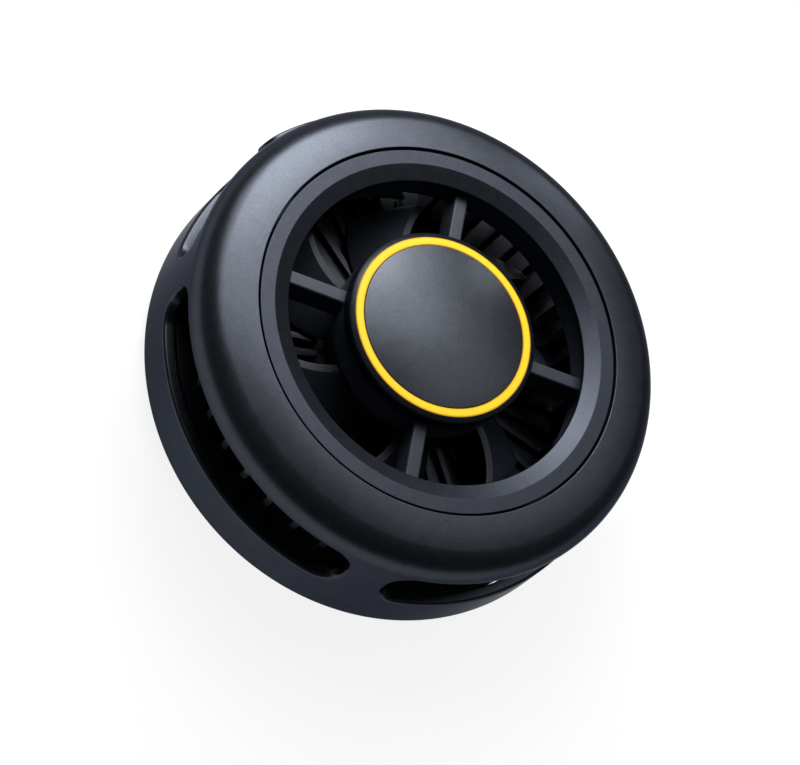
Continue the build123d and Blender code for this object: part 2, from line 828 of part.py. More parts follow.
# Heat sink: base with a pedestal, radial fins, posts of the control board and its screw holes
board_bottom_z = board_top_z - board_thickness
board_outer_radius = shell_bore - board_inset
board_middle_radius = (shroud_outer + board_outer_radius) / 2
component_x = socket_width / 2 + component_gap + inductor_side / 2
component_y = sqrt(board_middle_radius**2 - component_x**2)
board_screw_x = component_x + inductor_side / 2 + board_screw_gap + board_screw_head_radius
board_screw_y = sqrt(board_middle_radius**2 - board_screw_x**2)
board_screw_places = [(board_screw_x, board_screw_y), (-board_screw_x, board_screw_y)]
board_half_width = board_screw_x + board_post_radius + board_margin
sink_radius = shell_bore - sink_gap
fin_step_radius = shroud_radius + fin_shroud_gap
tall_fin_radius = shroud_outer + hook_reach + slide_gap
short_fin_top_z = spoke_bottom_z - short_fin_gap
tall_fin_top_z = shell_flange_bottom_z - tall_fin_gap
tec_wire_reach = shell_bore - tec_wire_inset
fin_clear_x = board_half_width + fin_board_gap + fin_thickness / 2
post_keep_out = shell_post_radius + post_fin_gap
fin_azimuths = even_azimuths(fin_count, fin_phase)
tall_fin_azimuths = [
    azimuth
    for azimuth in fin_azimuths
    if sin(radians(azimuth)) < 0 or fin_step_radius * abs(cos(radians(azimuth))) > fin_clear_x
]


def fin_end(azimuth):
    # A fin that would run into a screw post stops short of it
    for post_azimuth in pillar_azimuths:
        sideways = screw_circle * abs(sin(radians(azimuth - post_azimuth)))
        same_side = cos(radians(azimuth - post_azimuth)) > 0
        if same_side and sideways < post_keep_out + fin_thickness / 2:
            return screw_circle - post_keep_out
    return fin_outer_radius


def fin_row(azimuths, start, top_z, end_of):
    with BuildPart() as row:
        with BuildSketch(Plane.XY.offset(floor_z)):
            for azimuth in azimuths:
                end = end_of(azimuth)
                with Locations(polar((start + end) / 2, azimuth)):
                    Rectangle(end - start, fin_thickness, rotation=azimuth)
        extrude(amount=top_z - floor_z)
    return row.part


low_fins = fin_row(fin_azimuths, fin_inner_radius, low_fin_top_z, lambda azimuth: tall_fin_radius)
short_fins = fin_row(
    tall_fin_azimuths, fin_step_radius, short_fin_top_z, lambda azimuth: tall_fin_radius
)
tall_fins = fin_row(tall_fin_azimuths, tall_fin_radius, tall_fin_top_z, fin_end)
pedestal_side = ceramic_side + 2 * pedestal_margin
notch_start = tec_wire_reach - wire_slot_margin
notch_depth = sink_radius - notch_start + cut_overrun

with BuildPart() as heat_sink:
    add(ring(0, sink_radius, sink_bottom_z, floor_z))
    add(block(pedestal_side, pedestal_side, thermal_sheet_top_z, sink_bottom_z, [(0, 0)]))
    add(low_fins)
    add(short_fins)
    add(tall_fins)
    add(pegs(board_post_radius, floor_z, board_bottom_z, board_screw_places))
    add(
        pegs(board_screw_radius + glue_gap, floor_z, board_bottom_z, board_screw_places),
        mode=Mode.SUBTRACT,
    )
    add(
        pegs(screw_radius + screw_hole_gap, sink_bottom_z, floor_z, screw_places),
        mode=Mode.SUBTRACT,
    )
    add(
        block(
            wire_slot_width,
            notch_depth,
            sink_bottom_z,
            floor_z,
            [(0, notch_start + notch_depth / 2)],
        ),
        mode=Mode.SUBTRACT,
    )
save(heat_sink.part, "heat_sink")

# Thermoelectric module between the heat sink and the cold plate
seal_bore = ceramic_side - 2 * seal_wall
pellet_pitch = seal_bore / pellet_rows
save(
    block(ceramic_side, ceramic_side, hot_ceramic_top_z, thermal_sheet_top_z, [(0, 0)]),
    "thermal_sheet",
)
save(block(ceramic_side, ceramic_side, pellet_top_z, hot_ceramic_top_z, [(0, 0)]), "hot_ceramic")
save(block(ceramic_side, ceramic_side, cold_plate_top_z, pellet_bottom_z, [(0, 0)]), "cold_ceramic")

with BuildPart() as module_pellets:
    with BuildSketch(Plane.XY.offset(pellet_bottom_z)):
        with GridLocations(pellet_pitch, pellet_pitch, pellet_rows, pellet_rows):
            Rectangle(pellet_side, pellet_side)
    extrude(amount=pellet_height)
save(module_pellets.part, "module_pellets")

with BuildPart() as module_seal:
    add(block(ceramic_side, ceramic_side, pellet_bottom_z, pellet_top_z, [(0, 0)]))
    add(
        block(seal_bore, seal_bore, pellet_bottom_z, pellet_top_z, [(0, 0)]),
        mode=Mode.SUBTRACT,
    )
save(module_seal.part, "module_seal")

# Cold plate, contact pad and the ring of magnets with its steel ring
with BuildPart() as cold_plate:
    add(ring(0, cold_plate_radius, cold_plate_bottom_z, cover_top_z))
    add(ring(0, cold_flange_radius, cover_top_z, cold_plate_top_z))
save(cold_plate.part, "cold_plate")
save(ring(0, cold_plate_radius - contact_pad_margin, 0, contact_pad_thickness), "contact_pad")

magnet_half_angle = 180 / magnet_count - degrees(magnet_segment_gap / 2 / magnet_middle_radius)
magnets = [
    ring_sector(
        magnet_inner_radius,
        magnet_outer_radius,
        cover_top_z,
        magnet_top_z,
        azimuth,
        magnet_half_angle,
    )
    for azimuth in even_azimuths(magnet_count)
]
with BuildPart() as ring_magnets:
    add(magnets)
save(ring_magnets.part, "ring_magnets")
save(
    ring(magnet_inner_radius, magnet_outer_radius, magnet_top_z, flux_ring_top_z),
    "flux_ring",
)

# Foam that fills the space round the module, with a slot for its wires
foam_bore = ceramic_side + 2 * foam_margin
foam_slot_depth = magnet_outer_radius - ceramic_side / 2
with BuildPart() as insulation_foam:
    add(ring(0, magnet_outer_radius, flux_ring_top_z, sink_bottom_z))
    add(
        block(foam_bore, foam_bore, flux_ring_top_z, sink_bottom_z, [(0, 0)]),
        mode=Mode.SUBTRACT,
    )
    add(
        block(
            wire_slot_width,
            foam_slot_depth,
            flux_ring_top_z,
            sink_bottom_z,
            [(0, magnet_outer_radius - foam_slot_depth / 2 + slide_gap)],
        ),
        mode=Mode.SUBTRACT,
    )
save(insulation_foam.part, "insulation_foam")

# Bottom cover with its screw posts, and the soft grip ring stuck to it
cover_radius = shell_bore - slide_gap
head_seat_z = shell_bottom_z + screw_head_recess
with BuildPart() as bottom_cover:
    add(ring(cold_plate_radius + slide_gap, cover_radius, shell_bottom_z, cover_top_z))
    add(ring(cover_radius - cover_rim_wall, cover_radius, cover_top_z, cover_top_z + cover_rim_height))
    add(pegs(cover_post_radius, cover_top_z, sink_bottom_z, screw_places))
    add(
        pegs(screw_radius + screw_hole_gap, shell_bottom_z, sink_bottom_z, screw_places),
        mode=Mode.SUBTRACT,
    )
    add(
        pegs(screw_head_radius + screw_hole_gap, shell_bottom_z, head_seat_z, screw_places),
        mode=Mode.SUBTRACT,
    )
save(bottom_cover.part, "bottom_cover")

with BuildPart() as grip_ring:
    add(ring(cold_plate_radius + grip_inner_margin, cover_radius - grip_outer_margin, 0, grip_thickness))
    fillet(grip_ring.faces().sort_by(Axis.Z)[0].edges(), grip_edge_round)
save(grip_ring.part, "grip_ring")

# Screws through the cover and the heat sink into the shell's posts
head_bottom_z = head_seat_z - screw_head_height
with BuildPart() as housing_screws:
    add(pegs(screw_head_radius, head_bottom_z, head_seat_z, screw_places))
    add(pegs(screw_radius, head_seat_z, floor_z + screw_depth, screw_places))
    for turn in (0, 90):
        add(
            block(
                screw_slot_length,
                screw_slot_width,
                head_bottom_z,
                head_bottom_z + screw_slot_depth,
                screw_places,
                turn,
            ),
            mode=Mode.SUBTRACT,
        )
save(housing_screws.part, "housing_screws")

# Control board behind the socket, with its parts and screws
with BuildPart() as control_board:
    add(ring(shroud_outer, board_outer_radius, board_bottom_z, board_top_z))
    add(
        block(
            2 * board_half_width,
            board_outer_radius,
            board_bottom_z,
            board_top_z,
            [(0, board_outer_radius / 2)],
        ),
        mode=Mode.INTERSECT,
    )
    add(
        pegs(board_screw_radius + glue_gap, board_bottom_z, board_top_z, board_screw_places),
        mode=Mode.SUBTRACT,
    )
save(control_board.part, "control_board")

chip_y = socket_back - chip_margin - chip_side / 2
save(
    block(chip_side, chip_side, board_top_z, board_top_z + chip_height, [(0, chip_y)]),
    "control_chip",
)
save(
    block(
        inductor_side,
        inductor_side,
        board_top_z,
        board_top_z + inductor_height,
        [(component_x, component_y)],
    ),
    "inductor",
)
capacitor_rows = even_steps(capacitor_count, capacitor_pitch)
save(
    block(
        capacitor_length,
        capacitor_width,
        board_top_z,
        board_top_z + capacitor_height,
        [(-component_x, component_y + row) for row in capacitor_rows],
    ),
    "capacitors",
)

with BuildPart() as board_screws:
    add(
        pegs(
            board_screw_head_radius,
            board_top_z,
            board_top_z + board_screw_head_height,
            board_screw_places,
        )
    )
    add(
        pegs(
            board_screw_radius,
            board_bottom_z - board_screw_depth,
            board_top_z,
            board_screw_places,
        )
    )
save(board_screws.part, "board_screws")

# Charging socket: a drawn metal sleeve and the tongue inside it
with BuildPart() as socket_sleeve:
    with BuildSketch(outward_plane(port_azimuth, socket_back, port_z)):
        SlotOverall(socket_width, socket_height)
    extrude(amount=socket_depth)
    with BuildSketch(outward_plane(port_azimuth, socket_back + socket_sheet, port_z)):
        SlotOverall(socket_width - 2 * socket_sheet, socket_height - 2 * socket_sheet)
    extrude(amount=socket_depth, mode=Mode.SUBTRACT)
save(socket_sleeve.part, "socket_sleeve")

tongue_root_back = socket_back + socket_sheet
with BuildPart() as socket_tongue:
    with BuildSketch(outward_plane(port_azimuth, tongue_root_back, port_z)):
        SlotOverall(
            socket_width - 2 * (socket_sheet + glue_gap), socket_height - 2 * (socket_sheet + glue_gap)
        )
    extrude(amount=tongue_root_depth)
    with BuildSketch(outward_plane(port_azimuth, tongue_root_back, port_z)):
        Rectangle(tongue_width, tongue_thickness)
    extrude(amount=tongue_depth)
save(socket_tongue.part, "socket_tongue")

# Wires: a pair from the thermoelectric module and the fan's cable along one spoke
tec_wire_z = (flux_ring_top_z + sink_bottom_z) / 2
tec_wires_made = [
    wire_run(
        [
            (side * tec_wire_offset, ceramic_side / 2, tec_wire_z),
            (side * tec_wire_offset, tec_wire_reach, tec_wire_z),
            (side * tec_wire_offset, tec_wire_reach, board_bottom_z),
        ],
        tec_wire_bend_radius,
        tec_wire_radius,
    )
    for side in (-1, 1)
]
with BuildPart() as module_wires:
    add(tec_wires_made)
save(module_wires.part, "module_wires")

fan_cable_circle = shroud_outer + fan_cable_offset
fan_cable_end_x = component_x + capacitor_length / 2 + fan_cable_side_gap + fan_cable_radius
fan_cable_end_azimuth = port_azimuth + degrees(asin(fan_cable_end_x / fan_cable_circle))
fan_cable_middle = (fan_cable_azimuth + fan_cable_end_azimuth) / 2
fan_cable = wire_run(
    [
        polar(stator_radius, fan_cable_azimuth, fan_cable_z),
        polar(fan_cable_circle, fan_cable_azimuth, fan_cable_z),
        polar(fan_cable_circle + fan_cable_bulge, fan_cable_middle, fan_cable_z),
        polar(fan_cable_circle, fan_cable_end_azimuth, fan_cable_z),
        polar(fan_cable_circle, fan_cable_end_azimuth, board_top_z),
    ],
    fan_cable_bend_radius,
    fan_cable_radius,
)
save(fan_cable, "fan_cable")
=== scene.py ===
import json
import math
from functools import partial

import bmesh
import bpy
from mathutils import Matrix, Vector


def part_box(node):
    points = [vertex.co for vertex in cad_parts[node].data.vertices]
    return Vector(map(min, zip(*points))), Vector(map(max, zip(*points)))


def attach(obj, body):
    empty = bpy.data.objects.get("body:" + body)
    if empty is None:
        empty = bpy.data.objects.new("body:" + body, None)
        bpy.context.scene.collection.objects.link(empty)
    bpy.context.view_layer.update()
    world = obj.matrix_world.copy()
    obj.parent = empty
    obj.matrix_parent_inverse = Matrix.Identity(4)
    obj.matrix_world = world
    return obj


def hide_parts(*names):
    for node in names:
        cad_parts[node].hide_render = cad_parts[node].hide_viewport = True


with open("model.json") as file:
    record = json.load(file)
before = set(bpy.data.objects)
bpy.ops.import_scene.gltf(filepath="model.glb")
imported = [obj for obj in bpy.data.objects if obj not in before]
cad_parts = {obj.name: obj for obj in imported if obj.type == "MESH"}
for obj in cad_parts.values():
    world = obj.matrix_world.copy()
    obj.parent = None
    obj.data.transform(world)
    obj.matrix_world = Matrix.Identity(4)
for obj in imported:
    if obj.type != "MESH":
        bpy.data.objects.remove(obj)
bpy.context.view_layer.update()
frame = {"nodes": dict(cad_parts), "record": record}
print("frame loaded:", len(frame["nodes"]), "nodes")

mm = 0.001  # the dictionaries below are in millimetres and degrees
weldGap = 0.0008  # points nearer to each other than this become one


# points and outlines


def polar(radius, azimuth, height=0.0):
    turn = math.radians(azimuth)
    return (radius * math.cos(turn), radius * math.sin(turn), height)


def arcPoint(centre, radius, angle):
    # a point of an arc in the half plane of radius and height
    turn = math.radians(angle)
    return (centre[0] + radius * math.cos(turn), centre[1] + radius * math.sin(turn))


def arcRun(centre, radius, first, last, steps):
    return [arcPoint(centre, radius, first + (last - first) * i / steps) for i in range(steps + 1)]


def quarter(steps):
    # the angles of a quarter turn
    return [math.radians(90 * step / steps) for step in range(steps + 1)]


def even(count):
    return [360 * i / count for i in range(count)]


def eased(corners, steps=5):
    # closed outline whose corners (u, v, rounding) become tangent arcs
    outline = []
    for index, corner in enumerate(corners):
        here = Vector(corner[:2])
        rounding = corner[2] if len(corner) > 2 else 0
        if rounding == 0:
            outline.append(tuple(here))
            continue
        toLast = (Vector(corners[index - 1][:2]) - here).normalized()
        toNext = (Vector(corners[(index + 1) % len(corners)][:2]) - here).normalized()
        half = toLast.angle(toNext) / 2
        middle = here + (toLast + toNext).normalized() * rounding / math.sin(half)
        start = here + toLast * rounding / math.tan(half) - middle
        end = here + toNext * rounding / math.tan(half) - middle
        for step in range(steps + 1):
            ray = start.normalized().slerp(end.normalized(), step / steps)
            outline.append(tuple(middle + ray * rounding))
    return outline


# meshes and objects


def joinLoops(mesh, loops, closed=False):
    # quads between loops of points that run right round
    pairs = list(zip(loops, loops[1:]))
    if closed:
        pairs.append((loops[-1], loops[0]))
    for low, high in pairs:
        for i in range(len(low)):
            j = (i + 1) % len(low)
            corners = []
            for vert in (low[i], low[j], high[j], high[i]):
                if vert not in corners:
                    corners.append(vert)
            if len(corners) > 2:
                mesh.faces.new(corners)


def lathe(mesh, outline, azimuths, closed=True):
    # turns a profile of (radius, height) round the fan's axis, points on the axis become one
    loops = []
    for radius, height in outline:
        if radius < 1e-6:
            loops.append([mesh.verts.new((0, 0, height * mm))] * len(azimuths))
        else:
            ring = [Vector(polar(radius, a, height)) * mm for a in azimuths]
            loops.append([mesh.verts.new(p) for p in ring])
    joinLoops(mesh, loops, closed)


def column(mesh, x, y, outline, sides=32):
    # a turned post that stands away from the fan's axis
    start = len(mesh.verts)
    lathe(mesh, outline, even(sides))
    mesh.verts.ensure_lookup_table()
    bmesh.ops.translate(mesh, verts=mesh.verts[start:], vec=Vector((x, y, 0)) * mm)


def slab(mesh, low, high):
    # box between two corners
    for vert in bmesh.ops.create_cube(mesh, size=1.0)["verts"]:
        vert.co = Vector([(l if c < 0 else h) * mm for c, l, h in zip(vert.co, low, high)])


def upright(mesh, outline, half):
    # plate cut to an outline of (radius, height), standing across the X axis
    front = [mesh.verts.new(Vector((u, -half, v)) * mm) for u, v in outline]
    back = [mesh.verts.new(Vector((u, half, v)) * mm) for u, v in outline]
    mesh.faces.new(front)
    mesh.faces.new(back[::-1])
    joinLoops(mesh, [front, back])


def linked(name, data):
    made = bpy.data.objects.new(name, data)
    bpy.context.collection.objects.link(made)
    return made


def meshObject(name, mesh):
    data = bpy.data.meshes.new(name)
    mesh.to_mesh(data)
    mesh.free()
    return linked(name, data)


def smoothed(piece, sharpAngle):
    piece.data.shade_smooth()
    piece.data.set_sharp_from_angle(angle=math.radians(sharpAngle))
    weights = piece.modifiers.new("faceWeights", "WEIGHTED_NORMAL")
    weights.keep_sharp = True


def finished(name, mesh, finish, sharpAngle=32):
    # an object with outward faces, smooth but for its real edges
    bmesh.ops.remove_doubles(mesh, verts=mesh.verts, dist=weldGap * mm)
    bmesh.ops.recalc_face_normals(mesh, faces=mesh.faces)
    piece = meshObject(name, mesh)
    piece.data.materials.append(paints[finish])
    smoothed(piece, sharpAngle)
    return piece


def settled(piece):
    # the modifiers' result becomes the piece's own plain mesh
    graph = bpy.context.evaluated_depsgraph_get()
    piece.data = bpy.data.meshes.new_from_object(piece.evaluated_get(graph))
    piece.modifiers.clear()
    return piece


def beveled(piece, width, segments=2, sharpAngle=32):
    # the bevel goes before the weighted normals
    piece.modifiers.clear()
    rounding = piece.modifiers.new("edgeRounding", "BEVEL")
    rounding.width = width * mm
    rounding.segments = segments
    rounding.limit_method = "ANGLE"
    rounding.angle_limit = math.radians(sharpAngle)
    rounding.harden_normals = False
    smoothed(settled(piece), sharpAngle)
    return piece


def shaped(piece, tree, finish, values):
    # runs a geometry tree on a piece and keeps the result as a plain mesh
    change = piece.modifiers.new(tree.name, "NODES")
    change.node_group = tree
    values = {**values, "Finish": paints[finish]}
    for item in tree.interface.items_tree:
        if item.in_out == "INPUT" and item.name in values:
            change[item.identifier] = values[item.name]
    return settled(piece)


def merged(name, pieces, sharpAngle=32):
    # several pieces of one body as one object
    mesh = bmesh.new()
    for piece in pieces:
        mesh.from_mesh(piece.data)
    whole = meshObject(name, mesh)
    whole.data.materials.append(pieces[0].data.materials[0])
    for piece in pieces:
        bpy.data.objects.remove(piece)
    smoothed(whole, sharpAngle)
    return whole


def place(piece, body, *replaced):
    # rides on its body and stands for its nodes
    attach(piece, body)
    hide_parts(*replaced)


# node trees


def feed(node, values):
    # inputs take plain values or other sockets
    for key, value in values.items():
        if isinstance(value, bpy.types.NodeSocket):
            node.id_data.links.new(value, node.inputs[key])
        else:
            node.inputs[key].default_value = value
    return node


def addNode(tree, kind, values=None, **settings):
    made = tree.nodes.new(kind)
    for key, value in settings.items():
        setattr(made, key, value)
    return feed(made, values or {})


def addCalc(tree, operation, *terms):
    return addNode(tree, "ShaderNodeMath", dict(enumerate(terms)), operation=operation).outputs[0]


def buildTree(name, kind, inputs, outputs, build):
    # inputs and outputs are named; an input is a default or, as text, a kind of socket
    kinds = {float: "NodeSocketFloat", int: "NodeSocketInt", bool: "NodeSocketBool"}
    tree = bpy.data.node_groups.new(name, kind)
    for label, default in inputs.items():
        socket = kinds.get(type(default), default)
        made = tree.interface.new_socket(label, in_out="INPUT", socket_type=socket)
        if socket is not default:
            made.default_value = default
    for label, socket in outputs.items():
        tree.interface.new_socket(label, in_out="OUTPUT", socket_type=socket)
    given = tree.nodes.new("NodeGroupInput").outputs
    feed(tree.nodes.new("NodeGroupOutput"), build(partial(addNode, tree), partial(addCalc, tree), given))
    return tree


def objectPoint(node):
    return node("ShaderNodeTexCoord").outputs["Object"]


def split(node, point):
    return node("ShaderNodeSeparateXYZ", {0: point}).outputs


def axisReach(node):
    # distance from the fan's axis
    flat = node("ShaderNodeVectorMath", {0: objectPoint(node), 1: (1, 1, 0)}, operation="MULTIPLY")
    return node("ShaderNodeVectorMath", {0: flat.outputs[0]}, operation="LENGTH").outputs["Value"]


def spread(node, value, low, high):
    # zero up to the low value and one from the high value on
    ends = {"Value": value, "From Min": low, "From Max": high}
    return node("ShaderNodeMapRange", ends, clamp=True).outputs["Result"]


def mixed(node, share, first, second):
    # a share of the second colour over the first one
    first, second = ((*c, 1) if isinstance(c, (tuple, list)) else c for c in (first, second))
    return node("ShaderNodeMix", {0: share, 6: first, 7: second}, data_type="RGBA").outputs[2]


# shader groups shared by the finishes: each pattern has a size in millimetres


def grainNodes(node, calc, given):
    # moulding or paint grain, part fine and part broad
    point, fineness = objectPoint(node), calc("DIVIDE", 1 / mm, given["Size"])
    details = {"Detail": given["Detail"], "Roughness": given["Softness"]}
    fine = node("ShaderNodeTexNoise", {"Vector": point, "Scale": fineness, **details}).outputs["Fac"]
    coarse = {"Vector": point, "Scale": calc("MULTIPLY", fineness, 0.09), "Detail": 2.0}
    broad = node("ShaderNodeTexNoise", coarse).outputs["Fac"]
    both = calc("ADD", calc("MULTIPLY", fine, 0.55), calc("MULTIPLY", broad, 0.45))
    return {"Mask": spread(node, both, 0.32, 0.68), "Height": fine}


def flakeNodes(node, calc, given):
    # bright specks of metal in the paint, a share of the cells
    values = {"Vector": objectPoint(node), "Scale": calc("DIVIDE", 1 / mm, given["Size"])}
    cells = node("ShaderNodeTexVoronoi", values)
    tone = node("ShaderNodeSeparateColor", {"Color": cells.outputs["Color"]}).outputs["Red"]
    return {"Mask": spread(node, tone, calc("SUBTRACT", 1.0, given["Share"]), 1.0)}


def turnedNodes(node, calc, given):
    # fine rings that a lathe or a polishing wheel leaves round the axis
    flatPoint = {"X": axisReach(node), "Y": split(node, objectPoint(node))["Z"]}
    values = {
        "Vector": node("ShaderNodeCombineXYZ", flatPoint).outputs[0],
        "Scale": calc("DIVIDE", 1 / mm, given["Size"]),
        "Detail": 2.0,
        "Distortion": given["Waver"],
    }
    lines = node("ShaderNodeTexNoise", values).outputs["Fac"]
    return {"Mask": spread(node, lines, 0.3, 0.7), "Height": lines}


def layerNodes(node, calc, given):
    # level lines up a piece, such as stamped sheets, wound wire or woven glass
    at = split(node, objectPoint(node))
    leaning = calc("MULTIPLY", calc("ADD", at["X"], at["Y"]), given["Lean"])
    height = calc("MULTIPLY", calc("ADD", at["Z"], leaning), 2 * math.pi / mm)
    wave = calc("MULTIPLY_ADD", calc("SINE", calc("DIVIDE", height, given["Size"])), 0.5, 0.5)
    return {"Mask": wave, "Height": calc("SQRT", wave)}


maskOnly = {"Mask": "NodeSocketFloat"}
maskAndHeight = {**maskOnly, "Height": "NodeSocketFloat"}
grainInputs = {"Size": 0.4, "Softness": 0.5, "Detail": 3.0}
grain = buildTree("fineGrain", "ShaderNodeTree", grainInputs, maskAndHeight, grainNodes)
flakes = buildTree("paintFlakes", "ShaderNodeTree", {"Size": 0.06, "Share": 0.2}, maskOnly, flakeNodes)
turned = buildTree("turnedLines", "ShaderNodeTree", {"Size": 0.12, "Waver": 0.3}, maskAndHeight, turnedNodes)
layers = buildTree("stackedLines", "ShaderNodeTree", {"Size": 0.35, "Lean": 0.0}, maskAndHeight, layerNodes)
patterns = {"grain": grain, "paint": grain, "turned": turned, "layers": layers}
print("shader groups made")


# finishes, one for each material slot of the record: the main colour, the second one that the
# pattern mixes in, the roughness where the pattern is low and high, the pattern's size and depth


def plain(tint, shade, gloss, size, relief, pattern="grain", **more):
    return dict(tint=tint, shade=shade, gloss=gloss, size=size, relief=relief, pattern=pattern, **more)


def metal(*values):
    return plain(*values, metal=1.0)


coatEdge, bezelEdge = (0.25, 0.27, 0.31), (0.30, 0.32, 0.36)  # colour of the paint's gloss
flakeGain = 1.4  # how much brighter a flake is than the paint
finishes = {
    "shell_coat": plain(
        (0.040, 0.044, 0.053), (0.052, 0.057, 0.069), (0.30, 0.34), 0.16, 0.0016, "paint",
        metal=0.85, level=0.35, edge=coatEdge,
    ),
    "bezel_coat": plain(
        (0.029, 0.032, 0.041), (0.038, 0.042, 0.052), (0.32, 0.36), 0.14, 0.0014, "paint",
        metal=0.8, level=0.3, edge=bezelEdge,
    ),
    "cap_coat": plain(
        (0.043, 0.047, 0.055), (0.054, 0.059, 0.069), (0.28, 0.32), 0.12, 0.0016, "paint",
        metal=0.85, level=0.35, edge=coatEdge, dome=0.95, domeRadius=10.8,
    ),
    "sink_aluminium": plain(
        (0.014, 0.016, 0.021), (0.026, 0.029, 0.036), (0.34, 0.46), 0.12, 0.003,
        # the light grey fin ends are bare metal, and partly a painted highlight for the light they catch
        # through the vents
        metal=0.75, endRadius=28.35, endLow=8.02, endTint=(0.62, 0.64, 0.67),
    ),
    "guard_plastic": plain(
        (0.022, 0.028, 0.041), (0.029, 0.036, 0.051), (0.40, 0.48), 0.22, 0.003, level=0.32,
    ),
    "impeller_plastic": plain(
        (0.012, 0.015, 0.022), (0.017, 0.021, 0.030), (0.40, 0.48), 0.25, 0.003, level=0.24,
    ),
    "board_laminate": plain((0.012, 0.062, 0.030), (0.020, 0.092, 0.045), (0.28, 0.4), 0.6, 0.004, "layers"),
    "lamp_resin": plain((0.90, 0.80, 0.30), (0.96, 0.88, 0.42), (0.18, 0.26), 0.5, 0.002),
    "contact_metal": metal((0.72, 0.50, 0.22), (0.82, 0.60, 0.30), (0.22, 0.32), 0.2, 0.001),
    "core_steel": metal((0.24, 0.25, 0.27), (0.42, 0.43, 0.45), (0.34, 0.5), 0.35, 0.02, "layers"),
    "winding_copper": metal((0.42, 0.14, 0.05), (0.70, 0.30, 0.13), (0.24, 0.34), 0.28, 0.06, "layers"),
    "bush_bronze": metal((0.40, 0.26, 0.12), (0.54, 0.37, 0.18), (0.4, 0.55), 0.1, 0.006),
    "pad_nylon": plain((0.76, 0.75, 0.70), (0.83, 0.82, 0.77), (0.42, 0.52), 0.4, 0.002),
    "shaft_steel": metal((0.56, 0.57, 0.59), (0.68, 0.69, 0.71), (0.18, 0.26), 0.05, 0.001, "turned"),
    "clip_steel": metal((0.28, 0.28, 0.30), (0.40, 0.40, 0.41), (0.3, 0.42), 0.15, 0.001),
    "yoke_steel": metal((0.42, 0.43, 0.45), (0.52, 0.53, 0.55), (0.28, 0.4), 0.18, 0.002, "turned"),
    "ferrite": plain((0.045, 0.043, 0.042), (0.070, 0.067, 0.065), (0.55, 0.7), 0.12, 0.006),
    "magnet_nickel": metal((0.58, 0.56, 0.53), (0.68, 0.66, 0.62), (0.12, 0.2), 0.6, 0.001),
    "plate_aluminium": metal((0.68, 0.69, 0.71), (0.78, 0.79, 0.81), (0.24, 0.34), 0.16, 0.002, "turned"),
    "pad_silicone": plain((0.050, 0.053, 0.060), (0.064, 0.067, 0.076), (0.55, 0.68), 0.18, 0.005),
    "grip_silicone": plain((0.026, 0.029, 0.035), (0.036, 0.040, 0.047), (0.58, 0.7), 0.16, 0.005),
    "sheet_silicone": plain((0.30, 0.40, 0.51), (0.37, 0.47, 0.58), (0.6, 0.72), 0.3, 0.008),
    "alumina": plain((0.82, 0.81, 0.77), (0.89, 0.88, 0.85), (0.5, 0.62), 0.15, 0.002),
    "pellet_alloy": metal((0.22, 0.22, 0.25), (0.32, 0.32, 0.34), (0.35, 0.5), 0.3, 0.003),
    "seal_silicone": plain((0.74, 0.74, 0.72), (0.81, 0.81, 0.79), (0.38, 0.5), 0.8, 0.01),
    "foam": plain((0.10, 0.10, 0.105), (0.17, 0.17, 0.175), (0.85, 0.95), 0.28, 0.06),
    "cover_plastic": plain((0.020, 0.023, 0.030), (0.030, 0.034, 0.043), (0.42, 0.52), 0.2, 0.004),
    "screw_steel": metal((0.10, 0.10, 0.11), (0.18, 0.18, 0.19), (0.26, 0.36), 0.2, 0.001),
    "chip_resin": plain((0.022, 0.022, 0.024), (0.034, 0.034, 0.036), (0.5, 0.62), 0.08, 0.003),
    "inductor_resin": plain((0.12, 0.12, 0.125), (0.18, 0.18, 0.185), (0.5, 0.65), 0.12, 0.006),
    "capacitor_ceramic": plain((0.42, 0.30, 0.18), (0.52, 0.38, 0.24), (0.34, 0.46), 0.3, 0.002),
    "socket_steel": metal((0.56, 0.57, 0.58), (0.66, 0.67, 0.68), (0.2, 0.3), 0.25, 0.0008),
    "tongue_plastic": plain((0.016, 0.016, 0.018), (0.024, 0.024, 0.027), (0.42, 0.52), 0.2, 0.002),
    "wire_cover": plain((0.020, 0.020, 0.022), (0.030, 0.030, 0.033), (0.36, 0.46), 0.5, 0.003),
    "wire_pair_cover": plain((0.50, 0.020, 0.016), (0.60, 0.034, 0.026), (0.36, 0.46), 0.5, 0.003),
}


def newMaterial(name):
    # the material, its shader and the two ways to add to its tree
    material = bpy.data.materials.new(name)
    material.use_nodes = True
    tree = material.node_tree
    return material, tree.nodes["Principled BSDF"], partial(addNode, tree), partial(addCalc, tree)


